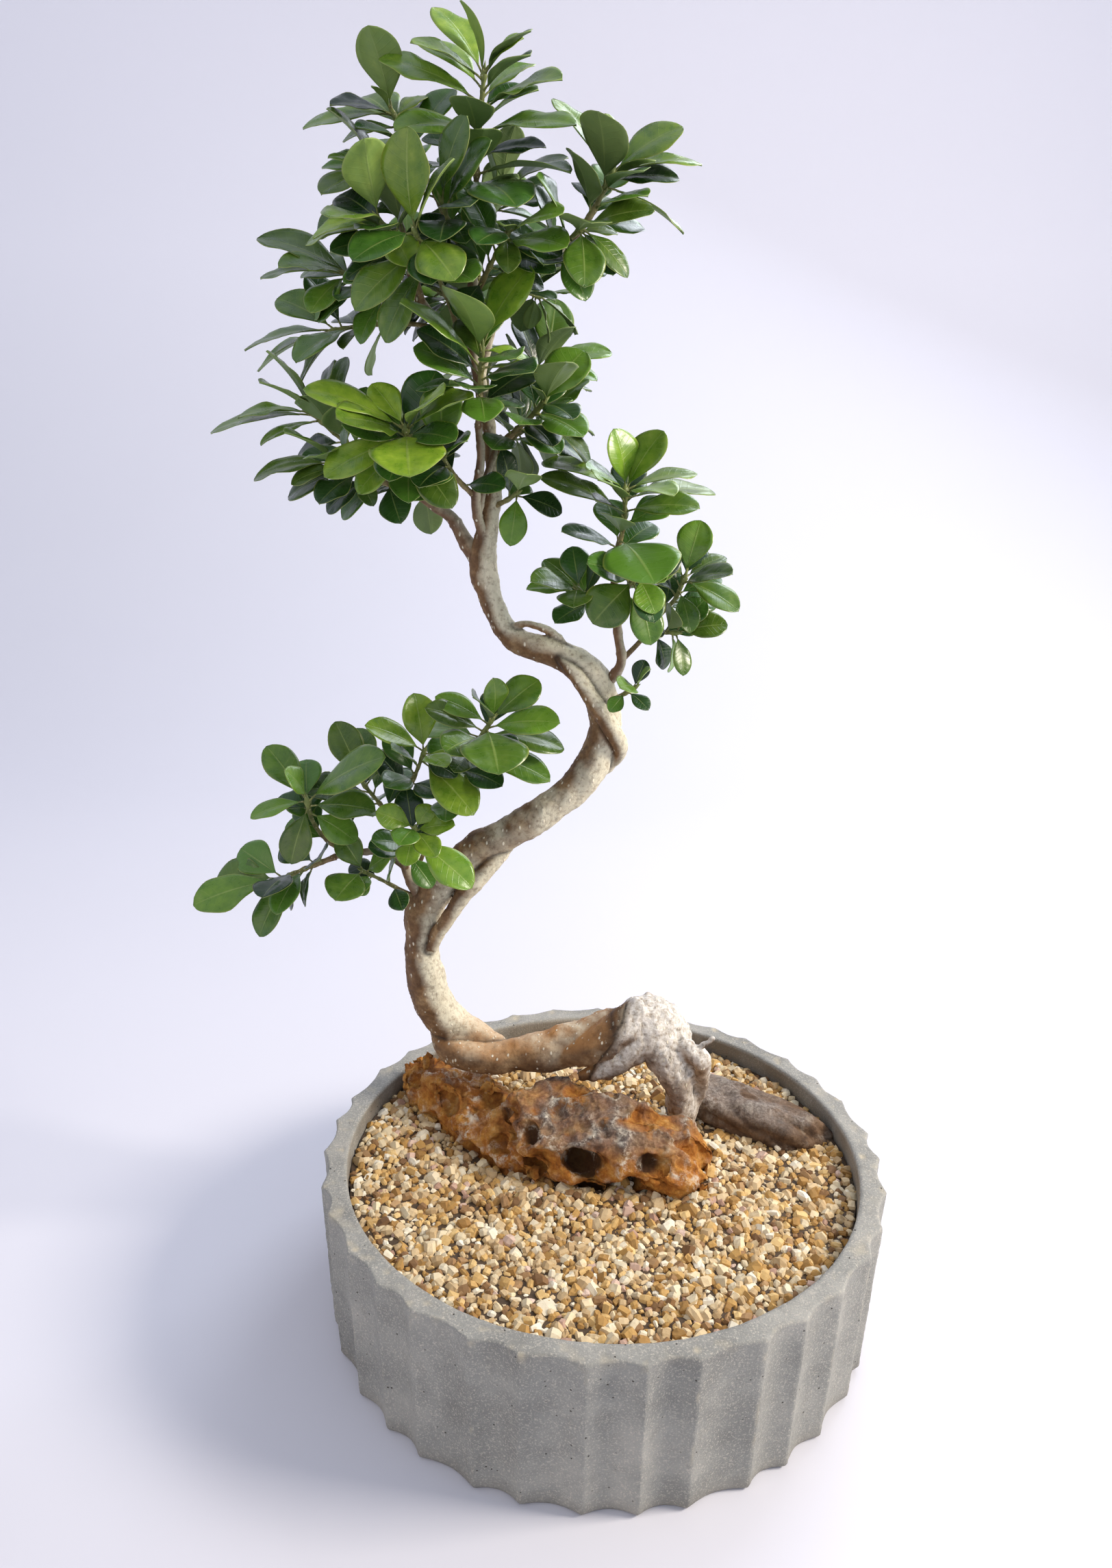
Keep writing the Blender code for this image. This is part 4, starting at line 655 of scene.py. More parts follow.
def build_bowl(look):
    """The fluted bowl as one skin, roughened, with worn arrises and bored drain holes."""
    angles, out = bowl_columns(20)
    rows = bowl_profile()
    radius = rows[:, :1] - FLUTE_DEPTH * rows[:, 2:] * (1 - out)
    height = np.broadcast_to(rows[:, 1:2], radius.shape)
    points = np.stack([radius * np.cos(angles), radius * np.sin(angles), height], axis=-1).reshape(-1, 3)
    columns = len(angles)
    count = len(points)
    caps = [[0, 0, 0], [0, 0, FLOOR]]
    under = [(count, (c + 1) % columns, c) for c in range(columns)]
    top = count - columns
    over = [(count + 1, top + c, top + (c + 1) % columns) for c in range(columns)]
    bowl = mesh_object("fluted_bowl", np.concatenate([points, caps]), grid_quads(len(rows), columns),
                       under + over, [look])
    points = mesh_points(bowl)
    normals = mesh_normals(bowl)
    ridge = np.append(np.tile(out, len(rows)), [0, 0])
    near_rim = np.clip(1 - np.abs(points[:, 2] - BOWL_HEIGHT) / (6 * MM), 0, 1)
    outer = np.hypot(points[:, 0], points[:, 1]) > INNER_RIM + 3 * MM
    chips = np.clip(noise(points, 5 * MM, 3) * 1.6 - 0.35, 0, 1)
    chips = chips * (0.25 + 0.75 * ridge ** 3) * near_rim * outer
    edge = np.clip(noise(points, 7 * MM, 5) * 1.5 - 0.5, 0, 1) * np.clip(ridge * 8 - 7, 0, 1) * outer
    grit = layered(points, 2.4 * MM, 2, 9) * (0.1 + 0.16 * ridge ** 2)
    rough = 0.3 * MM * layered(points, 28 * MM, 2, 7) + MM * grit
    rough -= (1.1 * chips + 0.5 * edge) * MM
    pits = np.clip(noise(points, 2.6 * MM, 11) - 0.55, 0, 1) * near_rim
    rough -= 1.2 * MM * pits
    rough = np.where(points[:, 2] > 2 * MM, rough, 0)
    move_points(bowl, points + normals * rough[:, None])
    attribute(bowl, "worn", np.clip(chips * 1.4 + edge * 0.8, 0, 1))
    # The inner wall, and the outside towards its foot, are darkened brown.
    inner_wall = ~outer & (points[:, 2] < BOWL_HEIGHT - 1.5 * MM)
    low_outside = outer * np.clip((12 * MM - points[:, 2]) / (12 * MM), 0, 1) * 0.4
    cloudy = np.clip(0.75 + 0.5 * layered(points, 20 * MM, 3, 13), 0, 1)
    attribute(bowl, "darker_inner_wall_and_foot", inner_wall * cloudy + low_outside)
    for x, y in drain_places():
        bpy.ops.mesh.primitive_cylinder_add(vertices=32, radius=DRAIN_RADIUS, depth=3 * FLOOR,
                                            location=(x, y, FLOOR / 2))
        drill = bpy.context.object
        step = bowl.modifiers.new("drill", "BOOLEAN")
        step.operation = "DIFFERENCE"
        step.solver = "MANIFOLD"
        step.object = drill
        settle(bowl)
        bpy.data.objects.remove(drill, do_unlink=True)
    install(bowl, ["bowl"])
    return bowl


def drain_places():
    """Middle of each drain hole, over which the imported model's screens lie."""
    for name in ("drain_screen_1", "drain_screen_2", "drain_screen_3"):
        low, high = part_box(name)
        yield (low[0] + high[0]) / 2, (low[1] + high[1]) / 2


# %% [markdown]
# ## Screens and soil
#
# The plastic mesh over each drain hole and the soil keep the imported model's own shapes:
# only their undersides can ever be seen, through the drain holes. They get finishes of
# their own, worn black plastic and crumbly dark soil.

# %% Screens and soil
def mesh_plastic():
    """Black moulded plastic, dusty in patches."""
    finish = Finish("black_mesh_plastic", 0.5)
    dust = finish.span(finish.noise(3 * MM, 3), 0.45, 0.7)
    return finish.done(finish.mix(dust, "#151515", "#3a3630"), finish.span(dust, 0, 1, 0.45, 0.8),
                       finish.noise(0.5 * MM), 0.1 * MM)


def potting_soil():
    """Moist potting soil: dark crumbs with a few pale flecks."""
    finish = Finish("potting_soil", 0.95, level=0.2)
    crumbs = finish.noise(2.5 * MM, 6, 0.75)
    tone = finish.ramp(crumbs, (0.3, "#17100b"), (0.55, "#33241a"), (0.75, "#54402f"))
    fleck = finish.span(finish.cells(6 * MM), 0.06, 0.12, 1, 0)
    return finish.done(finish.mix(fleck, tone, "#a89c84"), None, crumbs, 1.2 * MM)


def finish_nodes(names, look):
    """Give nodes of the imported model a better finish."""
    for name in names:
        mesh = NODES[name].data
        mesh.materials.clear()
        mesh.materials.append(look)


# %% [markdown]
# ## Gravel
#
# Washed tan gravel, 3 to 7 mm, raked level with the rim's inside. It is natural stone of
# mixed colours, so each grain is a real grain: a small cube rounded and dented at random,
# in five colours. Two layers lie over the imported bed, which has a darker gravel finish as
# painted shade showing between them. Grains stay out of the rocks and of the trunk's foot.

# %% Gravel
def gravel_finish(name, dark, middle, pale):
    """Stone grains of one colour family; every few millimetres the tone changes from grain to grain."""
    finish = Finish(name, 0.75, level=0.4)
    own = finish.read("tone")
    spots = finish.noise(1.6 * MM, 4, 0.7)
    value = finish.maths("ADD", finish.maths("MULTIPLY", own, 0.7), finish.maths("MULTIPLY", spots, 0.3))
    tone = finish.ramp(value, (0.15, dark), (0.5, middle), (0.85, pale))
    return finish.done(tone, finish.span(spots, 0.2, 0.8, 0.6, 0.85), spots, 0.2 * MM)


def gravel_height(x, y):
    """Height of the gently uneven gravel at a place."""
    swell = np.sin(x / 0.031 + 1) * np.cos(y / 0.038)
    return GRAVEL_TOP + GRAVEL_WAVES * (swell + 0.5 * np.sin((x + y) / 0.021))


def rounded_grain():
    """Points and faces of a cube split in four on each side and drawn most of the way to a ball."""
    shape = bmesh.new()
    bmesh.ops.create_cube(shape, size=2)
    bmesh.ops.subdivide_edges(shape, edges=shape.edges[:], cuts=1, use_grid_fill=True)
    points = np.array([v.co for v in shape.verts])
    ball = points / np.linalg.norm(points, axis=1)[:, None]
    faces = np.array([[v.index for v in face.verts] for face in shape.faces])
    shape.free()
    return ball * 0.58 + points * 0.37, faces


def turns(random, count):
    """Random rotations, from random unit quaternions."""
    q = random.normal(size=(count, 4))
    w, x, y, z = (q / np.linalg.norm(q, axis=1)[:, None]).T
    rows = [[1 - 2 * (y * y + z * z), 2 * (x * y - w * z), 2 * (x * z + w * y)],
            [2 * (x * y + w * z), 1 - 2 * (x * x + z * z), 2 * (y * z - w * x)],
            [2 * (x * z - w * y), 2 * (y * z + w * x), 1 - 2 * (x * x + y * y)]]
    return np.moveaxis(np.array(rows), 2, 0)


def outside(place, trees, margin):
    """True if a place is a margin outside every closed skin: a ray straight up meets no skin from within."""
    for tree in trees:
        hit, normal, _, _ = tree.ray_cast(Vector(place), Vector((0, 0, 1)))
        if (hit is not None and normal.z > 0) or tree.find_nearest(Vector(place))[3] < margin:
            return False
    return True


def tree_of_node(name):
    """A search tree over a node's faces."""
    mesh = NODES[name].data
    return BVHTree.FromPolygons([v.co for v in mesh.vertices], [tuple(f.vertices) for f in mesh.polygons])


def build_gravel(looks):
    """Two layers of grains on a jittered hexagonal grid, shared out between the colours."""
    random = np.random.default_rng(11)
    trees = [tree_of_node(name) for name in ("left_rock", "right_rock", "side_stone", "trunk")]
    spacing = 4.2 * MM
    places = []
    for layer, drop in enumerate((0.2 * MM, 3 * MM)):
        across = np.arange(-42, 43) * spacing
        x, y = np.meshgrid(across, across * math.sqrt(3) / 2)
        x = x + (np.arange(85) % 2)[:, None] * spacing / 2 + layer * spacing / 2
        x = x.ravel() + random.normal(0, 0.8 * MM, x.size)
        y = y.ravel() + layer * spacing * 0.3 + random.normal(0, 0.8 * MM, y.size)
        z = gravel_height(x, y) - drop + random.normal(0, 0.5 * MM, x.size)
        keep = np.hypot(x, y) < INNER_RIM - 2.4 * MM
        places.append(np.stack([x, y, z], axis=1)[keep])
    places = np.concatenate(places)
    places = places[[outside(place, trees, 0.6 * MM) for place in places]]
    size = np.clip(random.lognormal(math.log(2.55), 0.27, len(places)), 1.4, 4.6) * MM
    limit = INNER_RIM - 0.1 * MM - np.hypot(places[:, 0], places[:, 1])
    size = np.minimum(size, np.maximum(limit, 1.2 * MM))
    ball, faces = rounded_grain()
    stretch = random.uniform(0.68, 1.28, (len(places), 1, 3)) * (1, 1, 0.8)
    dents = noise((ball[None] + random.uniform(0, 40, (len(places), 1, 3))).reshape(-1, 3), 0.9, 4)
    shapes = ball[None] * (1 + 0.26 * dents.reshape(len(places), -1, 1)) * stretch * size[:, None, None]
    shapes = shapes @ turns(random, len(places)) + places[:, None]
    tones = random.uniform(0, 1, len(places))
    share = random.choice(len(looks), len(places), p=[look[1] for look in looks])
    made = []
    for number, (look, _) in enumerate(looks):
        mine = shapes[share == number]
        grains = faces[None] + (np.arange(len(mine)) * len(ball))[:, None, None]
        piece = mesh_object(look.name + "_grains", mine.reshape(-1, 3), grains.reshape(-1, 4), (), [look])
        piece.data.shade_flat()
        attribute(piece, "tone", np.repeat(tones[share == number], len(ball)))
        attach(piece, "root")
        made.append(piece)
    print(len(places), "grains of gravel")
    return made


# %% [markdown]
# ## Rocks
#
# Two ochre scholar's rocks and a darker slab, all natural stone that water has dissolved
# into scoops and holes. Each starts from a lumpy ball, has its scoops cut out, is fused to
# an even skin and then dissolved into scoops of two sizes, which leave crests between them.
# The slate back and the pale crests follow the height and the noise, as dirt and wear do.
# The cavities and the deepest scoops are painted near black as shade.

# %% Rock finish
def weathered_rock(name, colours, slates, slate_share, crest_share):
    """Dissolved stone: ochre and rust in its scoops, slate grey along its back, pale on its crests, painted
    shade in its hollows.
    """
    finish = Finish(name, 0.85, level=0.3)
    blotch = finish.noise(9 * MM, 6, 0.65)
    tone = finish.ramp(blotch, *zip((0.3, 0.45, 0.6, 0.75), colours))
    fine = finish.noise(2 * MM, 5, 0.7)
    tone = finish.mix(finish.span(fine, 0.42, 0.6, 0.3, 0), tone, colours[0])
    patches = finish.span(finish.noise(16 * MM, 5, 0.6), 0.3, 0.45)
    back = finish.maths("MULTIPLY", finish.read("back"), patches)
    slate = finish.ramp(fine, *zip((0.3, 0.52, 0.72), slates))
    tone = finish.mix(finish.maths("MULTIPLY", back, slate_share), tone, slate)
    # Painted shade: the cavities and the deepest scoops turn near black.
    tone = finish.mix(finish.maths("MULTIPLY", finish.read("painted_cavity_shade"), 0.88), tone, "#1d0f08")
    broken = finish.span(finish.noise(8 * MM, 6, 0.75), 0.48, 0.6)
    worn = finish.maths("MULTIPLY", finish.read("crest"), broken)
    tone = finish.mix(finish.maths("MULTIPLY", worn, crest_share), tone, "#ddd3bf")
    pitted = finish.maths("MULTIPLY", finish.cells(2.6 * MM), 0.5)
    grain = finish.maths("ADD", finish.noise(1.1 * MM, 5, 0.75), pitted)
    return finish.done(tone, finish.span(fine, 0.2, 0.8, 0.7, 0.95), grain, 0.8 * MM)


# %% Rock shapes
def stone_point(name, directions, grow=0.0):
    """Points of a stone's skin: a rounded box with lumps, turned into place, and flat where it is bedded."""
    centre, lengths, turn = STONES[name]
    turn = (Matrix.Rotation(math.radians(turn[0]), 3, "Z") @ Matrix.Rotation(math.radians(turn[1]), 3, "X")
            @ Matrix.Rotation(math.radians(turn[2]), 3, "Y"))
    d = np.asarray(directions, dtype=float)
    d = d / np.linalg.norm(d, axis=1)[:, None]
    x, y, z = d.T
    seed = sum(ord(letter) for letter in name)
    boxy = (np.abs(d) ** 4).sum(axis=1) ** -0.16
    lumps = (0.10 * np.sin(5 * x + seed) * np.cos(4 * y + 2 * seed)
             + 0.06 * np.sin(9 * z + 7 * x + seed) + 0.04 * np.cos(13 * y - 6 * x))
    local = d * np.array(lengths) * (boxy * (1 + lumps))[:, None]
    local += local / np.linalg.norm(local, axis=1)[:, None] * grow
    place = local @ np.array(turn).T + np.array(centre)
    place[:, 2] = np.maximum(place[:, 2], -STONE_BEDDING - grow)
    return stone_world(place)


def stone_world(place):
    """World points of places in the stones' table."""
    scale = (INNER_RIM - BOWL_TAPER * RIM_TO_GRAVEL / BOWL_HEIGHT) / DESIGN_INNER_RADIUS
    return place * (scale, scale, MM) + (0, 0, GRAVEL_TOP)


def ball(divisions):
    """Points and faces of an even ball of triangles."""
    shape = bmesh.new()
    bmesh.ops.create_icosphere(shape, subdivisions=divisions, radius=1)
    points = np.array([v.co for v in shape.verts])
    faces = np.array([[v.index for v in face.verts] for face in shape.faces])
    shape.free()
    return points, faces


def cut(target, points, faces):
    """Cut a closed shape out of a piece."""
    tool = mesh_object("cutter", points, (), faces)
    step = target.modifiers.new("cut", "BOOLEAN")
    step.operation = "DIFFERENCE"
    step.solver = "MANIFOLD"
    step.object = tool
    settle(target)
    bpy.data.objects.remove(tool, do_unlink=True)


def build_rock(name, look, cavities, neighbours, relief=1.0, cavity_shade_strength=1.0):
    """A weathered rock: lumpy ball, cavities and neighbours cut out, fused, then dissolved into scoops.

    A scoop of depth d and reach r is d (1 - (distance / r)^2); where two meet they leave a sharp crest.
    Relief is how strongly the scoops show; the last number sets how dark the painted shade in the cavities
    is.
    """
    directions, faces = ball(5)
    rock = mesh_object(name + "_weathered", stone_point(name, directions), (), faces, [look])
    small, small_faces = ball(4)
    middles = []
    for direction, lengths in cavities:
        middle = stone_point(name, [direction])[0]
        bumps = 1 + 0.2 * noise(small * 10, 6, len(middles) + 3)
        cut(rock, middle + small * np.array(lengths) * MM * bumps[:, None], small_faces)
        middles.append((middle, np.array(lengths) * MM))
    for other in neighbours:
        cut(rock, stone_point(other, directions, 2.6), faces)
    remesh(rock, 0.8 * MM, 2)
    points, normals = mesh_points(rock), mesh_normals(rock)
    centre = stone_world(np.array([STONES[name][0]], dtype=float))[0]
    sunk = np.zeros(len(points))
    for middle, lengths in middles:
        inside = np.clip((1.3 - np.linalg.norm((points - middle) / lengths, axis=1)) / 0.2, 0, 1)
        inwards = (centre - middle) / np.linalg.norm(centre - middle)
        sunk = np.maximum(sunk, inside * np.clip((points - middle) @ inwards / (0.75 * lengths.min()), 0, 1))
    seed = sum(ord(letter) for letter in name) % 40
    warp = np.stack([layered(points, 12 * MM, 2, seed + n) for n in (1, 2, 3)], axis=1) * 3.5 * MM
    near, after, own = scoops(points + warp, 20 * MM, seed)
    deep = np.clip(1 - (near / 0.8) ** 2, 0, 1) * (0.3 + 0.7 * own)
    near_small, after_small, own_small = scoops(points + warp, 9 * MM, seed + 5)
    deep_small = np.clip(1 - (near_small / 0.75) ** 2, 0, 1) * own_small ** 1.5
    bedded = np.clip((points[:, 2] - GRAVEL_TOP + 4 * MM) / (5 * MM), 0, 1)
    wear = 1.8 - 7.5 * deep * relief - 3.6 * deep_small * relief
    wear += (0.4 + relief) * 0.8 * layered(points, 5 * MM, 3, seed + 9)
    move_points(rock, points + normals * (wear * bedded * (1 - 0.7 * sunk) * MM)[:, None])
    upper = (points[:, 2] - centre[2]) / (points[:, 2].max() - centre[2])
    crest = np.clip(1 - (after - near) / 0.24, 0, 1)
    crest += 0.4 * np.clip(1 - (after_small - near_small) / 0.2, 0, 1)
    attribute(rock, "crest", np.clip(crest * (1 - 2.5 * deep) * np.clip(normals[:, 2] + 0.7, 0, 1), 0, 1))
    # Painted shade: the deepest scoops, and the cavities as strongly as the last number says.
    shaded = 1.2 * np.clip(deep - 0.7, 0, 1) + 1.2 * np.clip(deep_small - 0.6, 0, 1)
    attribute(rock, "painted_cavity_shade", np.clip(cavity_shade_strength * sunk + shaded, 0, 1))
    attribute(rock, "back", np.clip((upper - 0.35) / 0.3, 0, 1) * np.clip(1 - 1.2 * deep, 0, 1) * (1 - sunk))
    install(rock, [name])
    return rock


# %% [markdown]
# ## Old wood
#
# The trunk is one piece of living wood: a stem bent back and forth, a root that grew into a
# second trunk, and strands that twined round it and fused. Every strand is drawn as a tube
# with lumps and a slightly uneven section, then all are fused into one skin and softened,
# so the seams become the creases that such trunks have. Folds in front of the knuckle, where
# roots merged and were bared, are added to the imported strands. Bark relief is added to the
# skin: a shallow ripple across the growth, cracks and small raised pores.

# %% Bark finish
def fig_bark(name, dark, middle, pale):
    """Fig bark: brown, painted light in cream on the right-facing side and in gold on top, painted shade in
    seams and under bared wood, cream pores.
    """
    finish = Finish(name, 0.7, level=0.35)
    cloud = finish.noise(13 * MM, 5, 0.6)
    tone = finish.ramp(cloud, (0.3, dark), (0.5, middle), (0.72, pale))
    streak = finish.noise(3 * MM, 5, 0.7)
    tone = finish.mix(finish.span(streak, 0.42, 0.6, 0.45, 0), tone, dark)
    # Painted light: the tops of the low trunk and roots are painted gold.
    tone = finish.mix(finish.maths("MULTIPLY", finish.read("golden"), 0.75), tone, "#b9834a")
    # Painted highlight: the side facing the light from the right is painted cream.
    painted_lit_side = finish.maths("MULTIPLY", finish.read("painted_lit_side"), finish.span(streak, 0.32, 0.52, 0.4, 1))
    tone = finish.mix(painted_lit_side, tone, "#dcd6bd")
    dusty = finish.ramp(streak, (0.3, "#8f7d69"), (0.45, "#c9c1b4"), (0.62, "#ebe6dd"))
    # Pale bared root wood, with painted shade where it faces down.
    tone = finish.mix(finish.read("bare"), tone, dusty)
    tall = finish.add("ShaderNodeVectorMath", {0: finish.place, 1: (1, 1, 0.5)}, operation="MULTIPLY")
    pores = finish.span(finish.cells(3.4 * MM, place=tall.outputs[0]), 0.14, 0.24, 1, 0)
    pores = finish.maths("MULTIPLY", pores, finish.span(finish.noise(9 * MM, 2), 0.42, 0.54))
    tone = finish.mix(finish.maths("MULTIPLY", pores, 0.9), tone, "#ece3cb")
    # Painted shade: the seams and creases between strands turn near black; cracks, and the branches' random
    # marks, are darkened too.
    tone = finish.mix(finish.maths("MULTIPLY", finish.read("seam_shade_and_dark_marks"), 0.92), tone, "#1c110a")
    height = finish.maths("ADD", streak, finish.maths("MULTIPLY", pores, 0.8))
    return finish.done(tone, finish.span(cloud, 0.3, 0.7, 0.6, 0.8), height, 0.5 * MM)


# %% Wood shapes
def plant_point(x, y, height):
    """A table's point in the world: heights start at the gravel."""
    return Vector((x * MM, y * MM, GRAVEL_TOP + height * MM))


def smooth_line(rows, step):
    """A table's line as points a step apart on a Catmull-Rom curve."""
    rows = np.array(rows, dtype=float)
    ends = np.concatenate([[2 * rows[0] - rows[1]], rows, [2 * rows[-1] - rows[-2]]])
    made = []
    for a, b, c, d in zip(ends, ends[1:], ends[2:], ends[3:]):
        count = max(2, int(np.linalg.norm((c - b)[:3]) / step))
        t = np.arange(count)[:, None] / count
        made.append(0.5 * (2 * b + (c - a) * t + (2 * a - 5 * b + 4 * c - d) * t ** 2
                           + (3 * b - a - 3 * c + d) * t ** 3))
    return np.concatenate(made + [rows[-1:]])


def frames(points):
    """Two directions across a line at each of its points, carried along without twisting."""
    ahead = np.gradient(points, axis=0)
    ahead /= np.linalg.norm(ahead, axis=1)[:, None]
    side = np.array(Vector(ahead[0]).orthogonal().normalized())
    sides = []
    for direction in ahead:
        side = side - direction * side.dot(direction)
        side = side / np.linalg.norm(side)
        sides.append(side)
    sides = np.array(sides)
    return ahead, sides, np.cross(ahead, sides)


def tube(line, sides, swell=0.0, seed=0, tip=0.0):
    """Points, quads and triangles of a closed tube along rows of (x, y, z, radius) in metres.

    Swell is how strongly noise changes the radius; the tip is how far a pointed end reaches.
    """
    points, radii = line[:, :3], line[:, 3]
    ahead, side, other = frames(points)
    angle = 2 * np.pi * np.arange(sides) / sides
    spokes = side[:, None] * np.cos(angle)[None, :, None] + other[:, None] * np.sin(angle)[None, :, None]
    skin = points[:, None] + spokes * radii[:, None, None]
    if swell:
        lumps = layered(skin.reshape(-1, 3), 17 * MM, 3, seed).reshape(skin.shape[:2])
        skin = points[:, None] + spokes * (radii[:, None] * (1 + swell * lumps))[:, :, None]
    ends = np.array([points[0], points[-1] + ahead[-1] * tip])
    count = len(points) * sides
    first = [(count, (c + 1) % sides, c) for c in range(sides)]
    last = [(count + 1, count - sides + c, count - sides + (c + 1) % sides) for c in range(sides)]
    return np.concatenate([skin.reshape(-1, 3), ends]), grid_quads(len(points), sides), np.array(first + last)


def join(shapes):
    """Several shapes as one set of points, quads and triangles."""
    starts = np.cumsum([0] + [len(points) for points, _, _ in shapes])
    points = np.concatenate([points for points, _, _ in shapes])
    quads = np.concatenate([quads + start for (_, quads, _), start in zip(shapes, starts)])
    triangles = np.concatenate([triangles + start for (_, _, triangles), start in zip(shapes, starts)])
    return points, quads, triangles


def world_line(rows):
    """Rows of (x, y, height, radius) in millimetres as rows in metres in the world."""
    return np.array(rows) * MM + (0, 0, GRAVEL_TOP, 0)


def seam_depth(points, lines):
    """How close each point is to where two strands meet: 1 on the seam, 0 from 2.2 mm away.

    It is the difference between the distances to the nearest strand's skin and the next one's.
    """
    gaps = []
    for line in lines:
        nearest = np.full(len(points), np.inf)
        for start in range(0, len(line), 24):
            part = line[start:start + 24]
            reach = np.linalg.norm(points[:, None] - part[None, :, :3], axis=2) - part[None, :, 3]
            nearest = np.minimum(nearest, reach.min(axis=1))
        gaps.append(nearest)
    gaps = np.sort(np.array(gaps), axis=0)
    return np.clip(1 - (gaps[1] - gaps[0]) / (2.2 * MM), 0, 1)


KNUCKLE_FOLDS = [
    [(22, 38, 84, 10), (33, 35, 66, 13), (43, 36, 46, 12), (50, 41, 20, 9.5), (53, 45, -6, 7)],
    [(-30, 38, 54, 6), (-16, 33, 58, 9), (-2, 32, 68, 11), (12, 34, 80, 12), (24, 38, 88, 9)],
    [(24, 37, 80, 10), (15, 34, 64, 12), (6, 33, 52, 9), (-6, 33, 44, 6), (-16, 35, 40, 3)],
    [(46, 34, 70, 5), (56, 32, 61, 6.5), (62, 35, 50, 5.5), (62, 40, 36, 5), (59, 44, 20, 4.5),
     (57, 46, 0, 4)],
    [(55, 32, 66, 2.2), (62, 31, 70, 1.8), (67, 32, 74, 1.2)],
]


def build_trunk(look):
    """The trunk from its buried roots to the crown's fork, fused from its strands."""
    tables = [TRUNK_LINE, ROOT_TRUNK_LINE, KNUCKLE_LINE, BURL_LINE, TWINING_LINE, ARCHING_LINE]
    tables += KNUCKLE_FOLDS + ROOT_LINES
    lines = [world_line(smooth_line(table, 2.5)) for table in tables]
    shapes = [tube(line, 28 if number < 3 else 18, 0.13, number + 2) for number, line in enumerate(lines)]
    trunk = mesh_object("old_trunk", *join(shapes), [look])
    remesh(trunk, 1.0 * MM, 5)
    points, normals = mesh_points(trunk), mesh_normals(trunk)
    height = (points[:, 2] - GRAVEL_TOP) / MM
    seam_shade_and_dark_marks = seam_depth(points, lines[:6])
    fold = points[:, 0] / MM + 10 - 0.4 * (height - 40) + 2 * noise(points, 9 * MM, 75)
    low_part = height < 110
    bare = np.clip(fold / 5, 0, 1) * low_part
    # Painted shade: the creases between the knuckle's folds join the seams' shade.
    crease = np.exp(-(fold / 1.6) ** 2) * low_part * np.clip((height - 30) / 10, 0, 1) * (normals[:, 1] < 0.3)
    seam_shade_and_dark_marks = np.maximum(seam_shade_and_dark_marks * (1 - 0.6 * bare), crease)
    relief = 0.35 * layered(points, 6 * MM, 2, 61) + 0.22 * noise(points * (1, 1, 3), 4 * MM, 63)
    pores = np.clip(noise(points, 2.6 * MM, 65) - 0.5, 0, 1) * 1.1
    cracks = np.clip(1 - np.abs(noise(points * (1.6, 1.6, 0.7), 7 * MM, 67)) / 0.06, 0, 1)
    knots = 1.7 * bare * layered(points * (1.4, 1, 0.7), 10 * MM, 3, 69)
    relief += pores - 0.9 * seam_shade_and_dark_marks - (0.25 + 0.5 * bare) * cracks + knots
    move_points(trunk, points + normals * relief[:, None] * MM)
    # Painted shade in the seams and creases, and darker cracks.
    attribute(trunk, "seam_shade_and_dark_marks", np.clip(0.85 * seam_shade_and_dark_marks ** 1.5 + cracks * (0.25 + 0.2 * bare), 0, 1))
    # Painted highlight: faces turned right and up, above the foot, in patches and more so higher up, are
    # painted cream as if lit from the right.
    patches = 0.25 * layered(points, 16 * MM, 3, 79) + 0.16 * np.clip((height - 140) / 40, 0, 1)
    lit = np.clip((0.9 * normals[:, 0] + 0.35 * normals[:, 2] + 0.1 + patches) / 0.5, 0, 1)
    lit *= np.clip((height - 45) / 30, 0, 1) * (normals[:, 1] < 0.7)
    # Painted shade: the bared wood's pale colour fades where it faces down.
    shade = np.clip(normals[:, 2] * 1.2 + 0.75 + 0.3 * noise(points, 8 * MM, 77), 0.1, 1)
    attribute(trunk, "painted_lit_side", 0.92 * lit * (1 - bare))
    attribute(trunk, "bare", np.clip(bare * shade, 0, 1))
    # Painted light: faces turned up, below 100 mm, are painted gold.
    on_top = np.clip(1.8 * normals[:, 2] - 0.45, 0, 1) * np.clip((100 - height) / 30, 0, 1)
    attribute(trunk, "golden", on_top * (1 - bare))
    install(trunk, ["trunk"])
    return trunk


def build_branch(name, look):
    """A branch: a fine tube with a flared foot, ripples at its old leaf joints and a blunt tip."""
    line = world_line(smooth_line(BRANCHES[name][1], 1.6))
    length = np.concatenate([[0], np.cumsum(np.linalg.norm(np.diff(line[:, :3], axis=0), axis=1))])
    seed = sum(ord(letter) for letter in name)
    joints = np.exp(-(((length + seed % 7 * MM) % (13 * MM) - 6.5 * MM) / (1.2 * MM)) ** 2)
    line[:, 3] *= 1 + 0.16 * joints + 0.25 * np.exp(-length / (5 * MM))
    branch = mesh_object(name + "_wood", *tube(line, 16, 0.1, seed % 50, tip=1.2 * MM), [look])
    points, normals = mesh_points(branch), mesh_normals(branch)
    relief = 0.12 * layered(points, 3 * MM, 2, 71)
    move_points(branch, points + normals * relief[:, None] * MM)
    # Random dark marks on the branch's bark.
    attribute(branch, "seam_shade_and_dark_marks", np.clip(noise(points, 5 * MM, 73) - 0.6, 0, 1))
    # Painted highlight: the branch's right-facing side is painted cream.
    attribute(branch, "painted_lit_side", np.clip(0.8 * normals[:, 0] + 0.1, 0, 1))
    attribute(branch, "golden", np.zeros(len(points)))
    attribute(branch, "bare", np.zeros(len(points)))
    install(branch, [name])
    return branch


# %% [markdown]
# ## Leaves
#
# Fig leaves are thick, glossy and oval, with a short stalk and a point. Each is a closed
# thin blade on an arched midrib, folded a little along it and waved at its edge, 0.5 mm
# thick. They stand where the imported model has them: the rule places old leaves first, a
# golden turn apart, and turns one further round where its room is taken. The finish reads
# where a point lies on its leaf, which side it is on and how old the leaf is, for the pale
# midrib, the side veins, the yellowish edge, and the change from bright new growth to dark.

